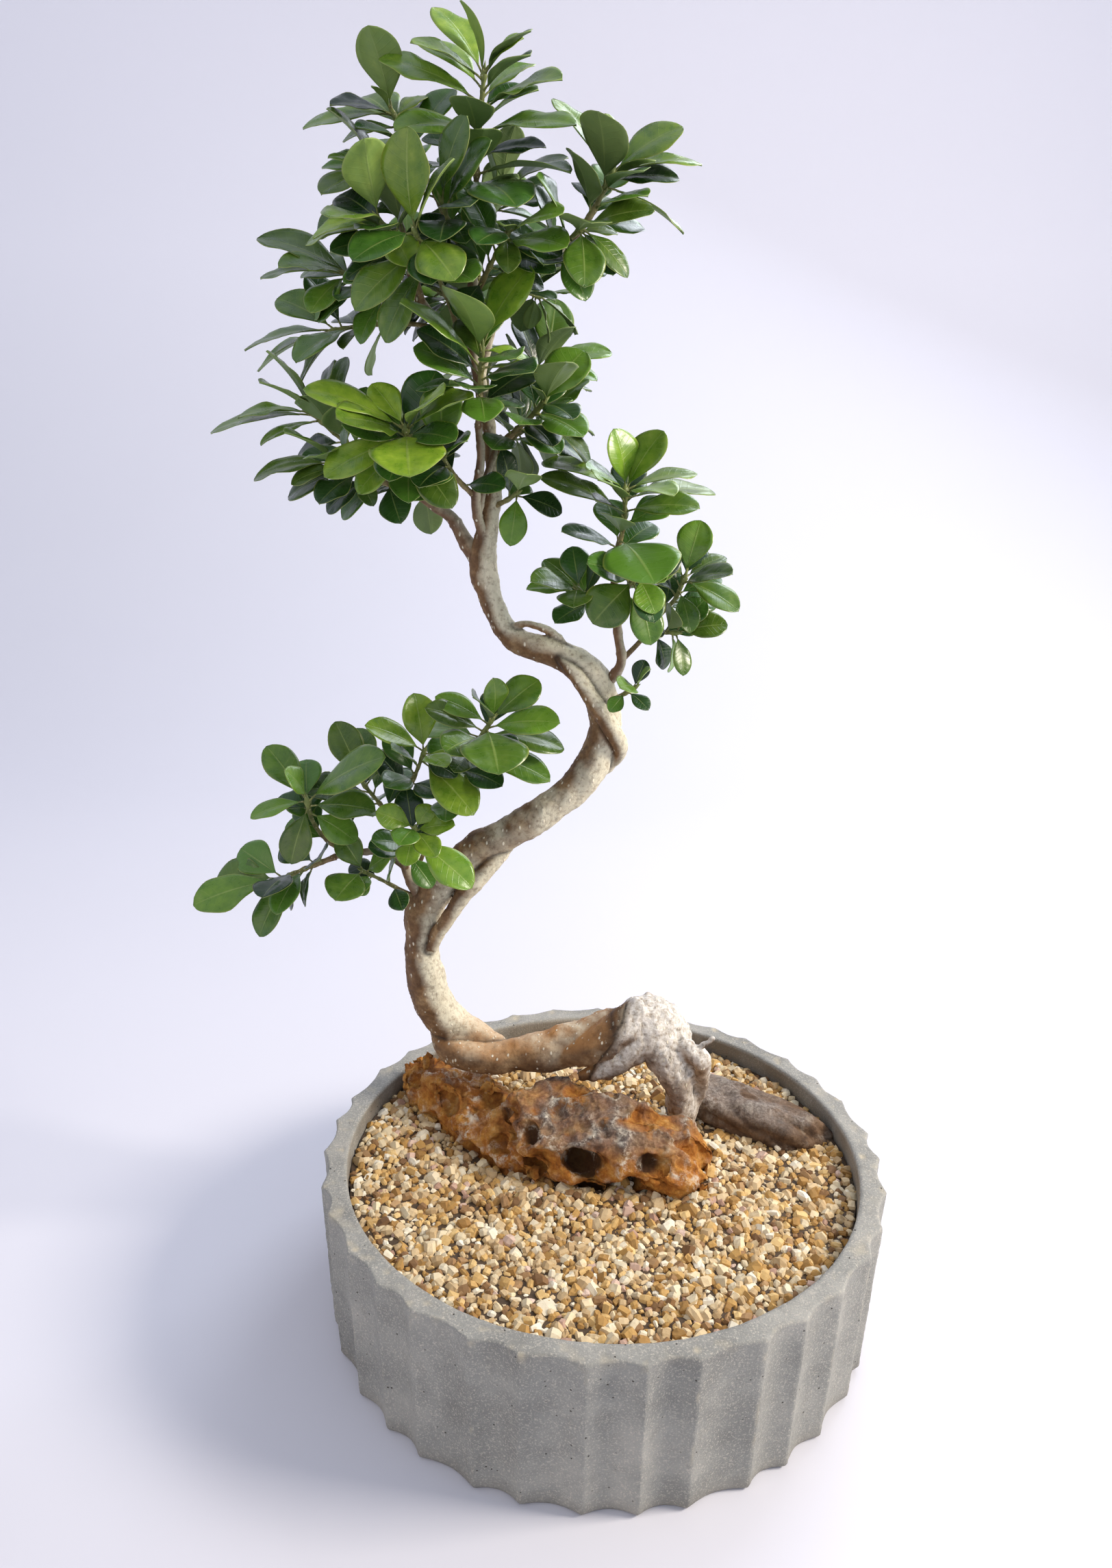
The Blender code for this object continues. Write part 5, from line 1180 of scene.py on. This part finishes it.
# %% Leaf finish
def fig_leaf():
    """Waxy leaf: bright when young, dark and glossy when old, with veins and a dull pale underside."""
    finish = Finish("fig_leaf", 0.34, level=0.5)
    along, across = finish.read("along"), finish.maths("ABSOLUTE", finish.read("across"))
    young, own = finish.read("young"), finish.read("own")
    mottle = finish.noise(7 * MM, 4, 0.6)
    mixed = finish.maths("ADD", finish.maths("MULTIPLY", own, 0.7), finish.maths("MULTIPLY", mottle, 0.3))
    old = finish.ramp(mixed,
                      (0.2, "#15330f"), (0.5, "#2d551b"), (0.8, "#547e25"))
    fresh = finish.ramp(mottle, (0.3, "#6e9624"), (0.6, "#96b534"), (0.8, "#b7cc50"))
    tone = finish.mix(young, old, fresh)
    speck = finish.span(finish.cells(2.1 * MM), 0.12, 0.2, 0.14, 0)
    tone = finish.mix(speck, tone, "#22361a")
    slanted = finish.maths("SUBTRACT", along, finish.maths("MULTIPLY", across, 0.16))
    wave = finish.maths("SINE", finish.maths("MULTIPLY", slanted, 62.0))
    veins = finish.maths("MULTIPLY", finish.span(wave, 0.88, 1.0), finish.span(across, 0.8, 1, 1, 0))
    tone = finish.mix(finish.maths("MULTIPLY", veins, 0.06), tone, "#8fa35a")
    rib = finish.span(across, 0.015, 0.055, 1, 0)
    rib = finish.maths("MULTIPLY", rib, finish.span(along, 0.2, 1, 1, 0.3))
    tone = finish.mix(finish.maths("MULTIPLY", rib, 0.5), tone, "#a6b768")
    edge = finish.span(across, 0.94, 1.0)
    tone = finish.mix(finish.maths("MULTIPLY", edge, 0.6), tone, "#a3a84e")
    under = finish.read("under")
    tone = finish.mix(finish.maths("MULTIPLY", under, 0.5), tone, "#8a9f62")
    waxy = finish.span(mottle, 0.3, 0.7, 0.24, 0.38)
    rough = finish.maths("ADD", waxy, finish.maths("MULTIPLY", under, 0.3))
    grooves = finish.maths("ADD", finish.maths("MULTIPLY", veins, 0.3), rib)
    height = finish.maths("SUBTRACT", finish.maths("MULTIPLY", mottle, 0.4), grooves)
    finish.shader.inputs["Coat Weight"].default_value = 0.12
    finish.shader.inputs["Coat Roughness"].default_value = 0.2
    return finish.done(tone, rough, height, 0.15 * MM)


def green_twig():
    """Young twig: green towards the tip and tan at the foot, with pale pores."""
    finish = Finish("green_twig", 0.55, level=0.4)
    streak = finish.noise(4 * MM, 4, 0.65)
    green = finish.ramp(streak, (0.35, "#5d6b33"), (0.65, "#87914f"))
    tan = finish.ramp(streak, (0.35, "#6a4f35"), (0.65, "#94795a"))
    tone = finish.mix(finish.read("along"), tan, green)
    pores = finish.span(finish.cells(2.2 * MM), 0.12, 0.2, 0.7, 0)
    return finish.done(finish.mix(pores, tone, "#cfc6a2"), None, streak, 0.15 * MM)


# %% Where the leaves grow
def old_tube(points, radii, sides, pointed=False):
    """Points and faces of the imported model's plain tube, which leaves keep clear of."""
    made = []
    side = None
    last = len(points) - 1
    for index, point in enumerate(points):
        ahead = (points[min(index + 1, last)] - points[max(index - 1, 0)]).normalized()
        if side is None:
            side = ahead.orthogonal().normalized()
        side = (side - ahead * side.dot(ahead)).normalized()
        other = ahead.cross(side)
        for step in range(sides):
            angle = 2 * math.pi * step / sides
            made.append(point + (side * math.cos(angle) + other * math.sin(angle)) * radii[index])
    faces = [tuple(int(i) for i in face) for face in grid_quads(len(points), sides)]
    faces.append(tuple(reversed(range(sides))))
    if pointed:
        made.append(points[-1] + (points[-1] - points[-2]).normalized() * radii[-1] * 4)
        base, tip = last * sides, len(made) - 1
        faces += [(base + step, base + (step + 1) % sides, tip) for step in range(sides)]
    else:
        faces.append(tuple(last * sides + step for step in range(sides)))
    return made, faces


def twig_line(table):
    """World points and radii of a shoot's stem, tapering to its bud."""
    last = len(table) - 1
    radii = [TWIG_RADIUS * (1 - 0.45 * n / last) for n in range(last + 1)]
    return [plant_point(*row) for row in table], radii


def plain_tree(name):
    """A search tree over the plain tubes of a branch, a shoot or the trunk."""
    if name == "trunk":
        strands = [(TRUNK_LINE, 10), (ROOT_TRUNK_LINE, 10), (KNUCKLE_LINE, 8), (BURL_LINE, 6)]
        strands += [(TWINING_LINE, 6), (ARCHING_LINE, 5)] + [(line, 6) for line in ROOT_LINES]
        points, faces = [], []
        for table, sides in strands:
            middles = [plant_point(*row[:3]) for row in table]
            more, more_faces = old_tube(middles, [row[3] * MM for row in table], sides)
            faces += [tuple(i + len(points) for i in face) for face in more_faces]
            points += more
    elif name in BRANCHES:
        rows = BRANCHES[name][1]
        points, faces = old_tube([plant_point(*row[:3]) for row in rows], [row[3] * MM for row in rows], 7)
    else:
        points, faces = old_tube(*twig_line(SHOOTS[name][1]), 5, pointed=True)
    return BVHTree.FromPolygons(points, faces)


def plain_leaf(place, heading, upper, length, width, spare=0.0):
    """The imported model's leaf, as points and faces: stalk first, then the blade."""
    across = heading.cross(upper).normalized()
    stalk = PETIOLE_RADIUS + spare / 2
    points = []
    stations = [(0, stalk, stalk), (PETIOLE, stalk, stalk), (0.4, 0.47, None), (0.78, 0.45, None)]
    for share, half, keel in stations:
        turn = LEAF_ARCH * (share - 0.5)
        along = length * (math.sin(turn) + math.sin(LEAF_ARCH / 2)) / LEAF_ARCH
        rise = length * (math.cos(turn) - math.cos(LEAF_ARCH / 2)) / LEAF_ARCH
        middle = place + heading * along + upper * rise
        if keel is None:
            half = half * width + spare
            keel = LEAF_THICKNESS + spare
            points += [middle + across * half + upper * spare, middle - across * half + upper * spare]
        else:
            raised = middle + upper * half / 2
            points += [raised + across * half, raised - across * half]
        points.append(middle - upper * keel)
    points.append(place + heading * (length * 2 * math.sin(LEAF_ARCH / 2) / LEAF_ARCH + spare))
    faces = [(0, 1, 2)]
    for row in range(3):
        for side in range(3):
            after = (side + 1) % 3
            faces.append((row * 3 + side, row * 3 + 3 + side, row * 3 + 3 + after, row * 3 + after))
    return points, faces + [(9 + side, 12, 9 + (side + 1) % 3) for side in range(3)]


def stem_at(points, share):
    """The point and direction at a share of a line's length."""
    lengths = [(b - a).length for a, b in zip(points, points[1:])]
    want = share * sum(lengths)
    for index, length in enumerate(lengths):
        if want <= length or index == len(lengths) - 1:
            place = points[index].lerp(points[index + 1], want / length)
            return place, (points[index + 1] - points[index]).normalized()
        want -= length


def leaf_upper(heading, stem):
    """The upper side of a leaf: towards the sky and the shoot's tip, square to the heading."""
    upper = Vector((0, -0.25, 1)) + stem * 0.5
    return (upper - heading * upper.dot(heading)).normalized()


def grow_leaves():
    """Each shoot's leaves as (place, heading, upper, length, width, age).

    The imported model's leaves come first; then older ones fill the crown's inside, where they fit.
    """
    wood = [(name, plain_tree(name)) for name in [*BRANCHES, *SHOOTS, "trunk"]]
    own_stem = dict(wood)
    taken = []
    leaves = {name: [] for name in SHOOTS}

    def fits(name, place, heading, upper, length, width):
        points, faces = plain_leaf(place, heading, upper, length, width, spare=0.5 * MM)
        blade, whole_leaf = BVHTree.FromPolygons(points, faces[4:]), BVHTree.FromPolygons(points, faces)
        middle = place + heading * length / 2
        for owner, tree in wood:
            if owner != name and (blade if owner == SHOOTS[name][0] else whole_leaf).overlap(tree):
                return False
        if blade.overlap(own_stem[name]):
            return False
        for owner, other_middle, other_length, tree, whole in taken:
            if (middle - other_middle).length < (length + other_length) / 2 + 2 * MM:
                if blade.overlap(tree) or (owner != name and whole_leaf.overlap(whole)):
                    return False
        return True

    def keep(name, place, heading, upper, length, width, age):
        points, faces = plain_leaf(place, heading, upper, length, width)
        leaves[name].append((place, heading, upper, length, width, age))
        taken.append((name, place + heading * length / 2, length, BVHTree.FromPolygons(points, faces[4:]),
                      BVHTree.FromPolygons(points, faces)))

    for name, rows in SET_LEAVES.items():
        points = twig_line(SHOOTS[name][1])[0]
        for share, tip, width_share in rows:
            place, stem = stem_at(points, share)
            reach = plant_point(*tip) - place
            room = (name, place, reach.normalized(), leaf_upper(reach.normalized(), stem), reach.length,
                    reach.length * width_share)
            if fits(*room):
                keep(*room, 1 - share)
    for name, (_, table, bare, count, size, first) in SHOOTS.items():
        points = twig_line(table)[0]
        chosen = len(leaves[name])
        for number in range(count - chosen):
            age = 1 - number / max(count - chosen - 1, 1)
            place, stem = stem_at(points, bare + (1 - bare) * (1 - age ** 1.3) * 0.97)
            side = (Vector((0, -1, 0)) - stem * stem.dot(Vector((0, -1, 0)))).normalized()
            lean = math.radians(32 + 66 * age)
            length = size * MM * (0.78 + 0.3 * math.sin(math.pi * min(age + 0.25, 1)))
            for attempt in range(24):
                shorter = 1 if attempt < 12 else 0.75
                swing = (attempt % 12 + 1) // 2 * (1 if attempt % 2 else -1) * math.radians(17)
                turn = math.radians(first) + number * GOLDEN_TURN + swing
                outwards = side * math.cos(turn) + stem.cross(side) * math.sin(turn)
                heading = stem * math.cos(lean) + outwards * math.sin(lean)
                room = (name, place, heading, leaf_upper(heading, stem), length * shorter,
                        length * shorter * LEAF_WIDTH)
                if fits(*room):
                    keep(*room, age)
                    break
    for name, (_, table, bare, count, size, first) in SHOOTS.items():
        points = twig_line(table)[0]
        for number in range(round(INNER_LEAVES * count)):
            place, stem = stem_at(points, bare + (1 - bare) * (number + 0.5) / (INNER_LEAVES * count))
            side = (Vector((0, -1, 0)) - stem * stem.dot(Vector((0, -1, 0)))).normalized()
            for attempt in range(16):
                turn = math.radians(first + 70) + (number + 0.5 * attempt) * GOLDEN_TURN
                lean = math.radians(60 + 2.5 * attempt)
                outwards = side * math.cos(turn) + stem.cross(side) * math.sin(turn)
                heading = stem * math.cos(lean) + outwards * math.sin(lean)
                length = size * MM * (0.86 if attempt < 8 else 0.7)
                room = (name, place, heading, leaf_upper(heading, stem), length, length * LEAF_WIDTH)
                if fits(*room):
                    keep(*room, 0.9)
                    break
    return leaves


# %% Leaf shape
LEAF_ROWS = 18
LEAF_COLUMNS = 11


def leaf_grid():
    """Shares along and across a blade, at every point of its grid."""
    along, across = np.meshgrid(np.linspace(0, 1, LEAF_ROWS), np.linspace(-1, 1, LEAF_COLUMNS), indexing="ij")
    return 0.5 * along + 0.25 * (1 - np.cos(np.pi * along)), across


def blade(place, heading, upper, length, width, seed):
    """Points of the upper side of one leaf's blade.

    The half width along the leaf is sin(pi t^1.35)^(0.85 - 0.28 t), widest past the middle; the
    midrib is an arc; the halves rise from it in a shallow fold, and the edge waves by noise.
    """
    along, across = leaf_grid()
    outline = np.sin(np.pi * np.clip(along, 1e-4, 1 - 1e-4) ** 1.35) ** (0.85 - 0.28 * along)
    share = PETIOLE + (1 - PETIOLE) * along
    turn = LEAF_ARCH * (share - 0.5)
    reach = length * (np.sin(turn) + math.sin(LEAF_ARCH / 2)) / LEAF_ARCH
    rise = length * (np.cos(turn) - math.cos(LEAF_ARCH / 2)) / LEAF_ARCH
    half = width / 2 * np.maximum(outline, 0.02)
    place, heading, upper = np.array(place), np.array(heading), np.array(upper)
    side = np.cross(heading, upper)
    fold = 0.2 * np.abs(across) * half - 0.1 * across ** 2 * half
    shape = np.stack([along * 2.1, across * 1.2, np.full(along.shape, seed * 3.1)], axis=-1).reshape(-1, 3)
    wave = noise(shape, 0.55, 5).reshape(along.shape) * np.abs(across) ** 1.5 * 0.055 * length * outline
    puff = 0.35 * MM * np.sin(along * 34 - np.abs(across) * 5) * (1 - np.abs(across)) * np.abs(across) * 2
    lift = rise + fold + wave + puff
    lift = np.minimum(lift, rise + 3.2 * MM)
    return place + heading * reach[..., None] + side * (half * across)[..., None] + upper * lift[..., None]


def leaf_faces():
    """Quads of the closed blade: the upper grid, the lower grid turned over, and the rim between them."""
    count = LEAF_ROWS * LEAF_COLUMNS
    index = np.arange(count).reshape(LEAF_ROWS, LEAF_COLUMNS)
    top = np.stack([index[:-1, :-1], index[:-1, 1:], index[1:, 1:], index[1:, :-1]], axis=-1).reshape(-1, 4)
    rim = np.concatenate([index[0, :-1], index[:-1, -1], index[-1, :0:-1], index[:0:-1, 0]])
    after = np.roll(rim, -1)
    wall = np.stack([after, rim, rim + count, after + count], axis=-1)
    return np.concatenate([top[:, ::-1], top + count, wall[:, ::-1]])


def shown_leaf(name, leaf):
    """A leaf at its full natural width, rolled towards the open side where it was drawn broad.

    The leading shoot's upright leaves are still short, as they unfold last.
    """
    place, heading, upper, length, width, age = leaf
    share = width / length
    open_side = Vector((0.1, -0.9, 0.35))
    open_side -= heading * open_side.dot(heading)
    roll = 0.9 if share > 0.57 else 0.6 if share > 0.38 else 0.1
    if name == "top_shoot" and heading.z > 0.45:
        length *= 0.8
    shown_width = length * max(share, 0.45) * 1.1
    return place, heading, (upper + open_side * roll).normalized(), length, shown_width, age


def leaf_piece(leaf, seed):
    """One leaf's points, quads and the numbers its finish reads."""
    place, heading, upper, length, width, _ = leaf
    points = blade(place, heading, upper, length, width, seed)
    along, across = leaf_grid()
    thickness = 0.5 * MM * (0.3 + 0.7 * (1 - np.abs(across) ** 4) + np.exp(-(across / 0.09) ** 2))
    lower = points - np.array(upper) * thickness[..., None]
    both = np.concatenate([points.reshape(-1, 3), lower.reshape(-1, 3)])
    under = np.repeat([0.0, 1.0], along.size)
    return both, leaf_faces(), np.tile(along.ravel(), 2), np.tile(across.ravel(), 2), under


def petiole(leaf):
    """The leaf's stalk, from inside the twig to the blade's foot."""
    place, heading, upper, length, width, _ = leaf
    share = np.linspace(-0.02, PETIOLE + 0.03, 5)
    turn = LEAF_ARCH * (share - 0.5)
    reach = length * (np.sin(turn) + math.sin(LEAF_ARCH / 2)) / LEAF_ARCH
    rise = length * (np.cos(turn) - math.cos(LEAF_ARCH / 2)) / LEAF_ARCH
    points = np.array(place) + np.array(heading) * reach[:, None] + np.array(upper) * rise[:, None]
    radii = np.array([1.15, 0.85, 0.72, 0.68, 0.4]) * PETIOLE_RADIUS
    return tube(np.column_stack([points - np.array(upper) * 0.25 * MM, radii]), 7)


def young_share(name, leaf):
    """How fresh a leaf is: the leading shoots' last leaves are the brightest."""
    age = leaf[5]
    bright = {"left_main_shoot": 0.95, "left_bright_shoot": 0.85, "top_shoot": 0.75,
              "lower_middle_shoot": 0.7, "front_leader_shoot": 0.8, "right_upper_shoot": 0.55,
              "upper_left_shoot": 0.5, "lower_front_shoot": 0.6, "right_top_shoot": 0.5,
              "left_outer_shoot": 0.45, "front_upper_shoot": 0.5}
    return bright.get(name, 0.25) * max(0, 1 - age / 0.45) ** 0.7


def build_shoot(name, leaves, looks, number):
    """A leafy shoot as one piece: twig with joints and a pointed bud, stalks and blades."""
    leaves = [shown_leaf(name, leaf) for leaf in leaves]
    points, radii = twig_line(SHOOTS[name][1])
    rows = np.column_stack([np.array(points) / MM, np.array(radii) / MM])
    line = smooth_line(rows, 1.6) * MM
    length = np.concatenate([[0], np.cumsum(np.linalg.norm(np.diff(line[:, :3], axis=0), axis=1))])
    for leaf in leaves:
        near = np.linalg.norm(line[:, :3] - np.array(leaf[0]), axis=1)
        line[:, 3] *= 1 + 0.28 * np.exp(-(near / (1.6 * MM)) ** 2)
    line[:, 3] *= 1 + 0.4 * np.exp(-length / (5 * MM))
    stem = tube(line, 12, 0.06, number, tip=5 * MM)
    parts = [stem] + [petiole(leaf) for leaf in leaves]
    twig_points, twig_quads, twig_triangles = join(parts)
    share = np.clip(np.repeat(length / length[-1], 12), 0, 1)
    share = np.concatenate([share, [0, 1], np.full(len(twig_points) - len(stem[0]), 0.8)])
    blades = [leaf_piece(leaf, number * 17 + index) for index, leaf in enumerate(leaves)]
    starts = len(twig_points) + np.cumsum([0] + [len(each[0]) for each in blades])
    every = np.concatenate([twig_points] + [each[0] for each in blades])
    quads = np.concatenate([twig_quads] + [each[1] + start for each, start in zip(blades, starts)])
    counts = [len(twig_quads), len(quads) - len(twig_quads), len(twig_triangles)]
    slots = np.repeat([0, 1, 0], counts)
    piece = mesh_object(name + "_leafy", every, quads, twig_triangles, looks, slots)
    random = np.random.default_rng(number)
    filler = np.zeros(len(twig_points))
    attribute(piece, "along", np.concatenate([share] + [each[2] for each in blades]))
    attribute(piece, "across", np.concatenate([filler] + [each[3] for each in blades]))
    attribute(piece, "under", np.concatenate([filler] + [each[4] for each in blades]))
    young = [np.full(len(each[0]), young_share(name, leaf)) for each, leaf in zip(blades, leaves)]
    own = [np.full(len(each[0]), random.uniform()) for each in blades]
    attribute(piece, "young", np.concatenate([filler] + young))
    attribute(piece, "own", np.concatenate([filler] + own))
    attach(piece, "root")
    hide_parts(name)
    return piece


# %% Make the bowl
bowl = build_bowl(cast_concrete())

# %% Make the screens, the soil and the gravel
finish_nodes(["drain_screen_1", "drain_screen_2", "drain_screen_3"], mesh_plastic())
finish_nodes(["soil"], potting_soil())
# The bed under the grains: a darker gravel, painted shade for the gaps between them.
finish_nodes(["gravel_bed"], gravel_finish("gravel_bed_painted_shade", "#4a3a29", "#6b5439", "#8a6f4e"))
gravel = build_gravel([
    (gravel_finish("golden_gravel", "#96703a", "#bd9555", "#dabb80"), 0.34),
    (gravel_finish("tan_gravel", "#b0946a", "#cdb48a", "#e2d1ac"), 0.34),
    (gravel_finish("cream_gravel", "#c8b896", "#ddd0b2", "#efe7d2"), 0.18),
    (gravel_finish("brown_gravel", "#6d4e30", "#8f6c45", "#ad8b60"), 0.11),
    (gravel_finish("pink_gravel", "#a5816c", "#c0a08c", "#d4bcab"), 0.03),
])

# %% Make the rocks
OCHRE = ("#744418", "#b06e29", "#d09545", "#d3b27a")
SLATE = ("#403f40", "#6b6864", "#948e85")
LIME = ("#6b6058", "#a39a90", "#d0c9c0")
UMBER = ("#3a2a1e", "#5a432f", "#7a6048", "#7d6c5a")
LEFT_SCOOPS = HOLLOWS["left_rock"] + [
    ((-0.2, -0.8, 0.5), (12, 8, 7)), ((0.1, -0.3, 0.95), (13, 9, 5)), ((0.75, -0.4, 0.5), (9, 8, 6)),
]
RIGHT_SCOOPS = HOLLOWS["right_rock"] + [
    ((-0.75, -0.5, 0.4), (14, 10, 9)), ((0.75, -0.6, 0.2), (10, 8, 10)), ((0, -0.95, 0.1), (13, 7, 6)),
    ((0.5, -0.5, 0.7), (9, 7, 6)),
]
left_look = weathered_rock("ochre_rock", OCHRE, SLATE, 0.15, 0.9)
right_look = weathered_rock("slate_and_ochre_rock", OCHRE, SLATE, 0.9, 0.95)
slab_look = weathered_rock("umber_slab", UMBER, LIME, 0.75, 0.2)
rocks = [
    build_rock("left_rock", left_look, LEFT_SCOOPS, [], 1.2, 0.35),
    build_rock("right_rock", right_look, RIGHT_SCOOPS, ["left_rock"]),
    build_rock("side_stone", slab_look, [], [], 0.12),
]

# %% Make the old wood
trunk = build_trunk(fig_bark("fig_bark", "#50361f", "#80603f", "#a88a63"))
branch_look = fig_bark("branch_bark", "#553c28", "#7b5d43", "#a18867")
branches = [build_branch(name, branch_look) for name in BRANCHES]

# %% Grow the shoots
INNER_LEAVES = 0.65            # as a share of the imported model's leaves
leaves = grow_leaves()
shoot_looks = [green_twig(), fig_leaf()]
shoots = [build_shoot(name, leaves[name], shoot_looks, number) for number, name in enumerate(SHOOTS, 1)]
print(sum(len(each) for each in leaves.values()), "leaves on", len(shoots), "shoots")

# %% [markdown]
# ## Room, light and view
#
# A plain pale floor, one large soft light from the right and above, a weaker warm one from
# the left, and an even sky. The view looks slightly down on the bowl from in front.

# %% Floor
def studio_floor():
    """A wide pale floor that curves up behind into a wall: level, then a quarter circle, then upright."""
    finish = Finish("studio_floor", 0.8, level=0.2)
    soft = finish.noise(400 * MM, 2)
    upright = finish.add("ShaderNodeSeparateXYZ", {"Vector": finish.place}).outputs["Z"]
    level = finish.mix(soft, "#dcdce4", "#e0e0e8")
    look = finish.done(finish.mix(finish.span(upright, 0, 0.8), level, "#f2f1f8"))
    turn = np.linspace(0, math.pi / 2, 24)
    y = np.concatenate([[-4], 0.9 + 1.2 * np.sin(turn), [2.1]])
    z = np.concatenate([[0], 1.2 * (1 - np.cos(turn)), [6]])
    points = np.array([(x, b, c) for x in (-8, 8) for b, c in zip(y, z)])
    row = np.arange(len(y) - 1)
    quads = np.stack([row, row + len(y), row + len(y) + 1, row + 1], axis=1)
    floor = mesh_object("floor", points, quads, (), [look])
    return floor


floor = studio_floor()


# %% Lights
def area_light(name, place, target, size, power, colour):
    """A soft square light that faces a point."""
    lamp = bpy.data.lights.new(name, "AREA")
    lamp.size = size
    lamp.energy = power
    lamp.color = linear(colour)[:3]
    made = bpy.data.objects.new(name, lamp)
    made.location = place
    made.rotation_euler = (Vector(target) - Vector(place)).to_track_quat("-Z", "Y").to_euler()
    bpy.context.scene.collection.objects.link(made)


area_light("key", (1.5, -0.12, 1.2), (0, 0, 0.3), 0.55, 36, "#fff4e6")
area_light("fill", (-1.3, -1.2, 0.9), (0, 0, 0.3), 1.4, 5, "#ffe8d2")
area_light("back", (0.7, 1.2, 1.5), (0, 0, 0.4), 0.9, 14, "#eef4ff")
world = bpy.data.worlds.new("soft_sky")
world.use_nodes = True
world.node_tree.nodes["Background"].inputs["Color"].default_value = linear("#e2e8f8")
world.node_tree.nodes["Background"].inputs["Strength"].default_value = 0.72
bpy.context.scene.world = world


# %% Camera
def place_camera(place, yaw, pitch, roll, lens):
    """A camera turned by a yaw from +Y, a pitch below the horizon and a roll about its view."""
    forward = Vector((math.sin(yaw) * math.cos(pitch), math.cos(yaw) * math.cos(pitch), -math.sin(pitch)))
    right = Vector((math.cos(yaw), -math.sin(yaw), 0))
    upward = right.cross(forward)
    level_right = right * math.cos(roll) + upward * math.sin(roll)
    level_up = upward * math.cos(roll) - right * math.sin(roll)
    lens_data = bpy.data.cameras.new("camera")
    lens_data.lens = lens
    lens_data.sensor_width = 36
    camera = bpy.data.objects.new("camera", lens_data)
    turn = Matrix((level_right, level_up, -forward)).transposed().to_4x4()
    turn.translation = Vector(place)
    camera.matrix_world = turn
    bpy.context.scene.collection.objects.link(camera)
    bpy.context.scene.camera = camera


place_camera((0, -0.6058, 0.5461), -0.0533, 0.3307, 0.0182, 26.74)
bpy.context.scene.view_settings.view_transform = "Standard"
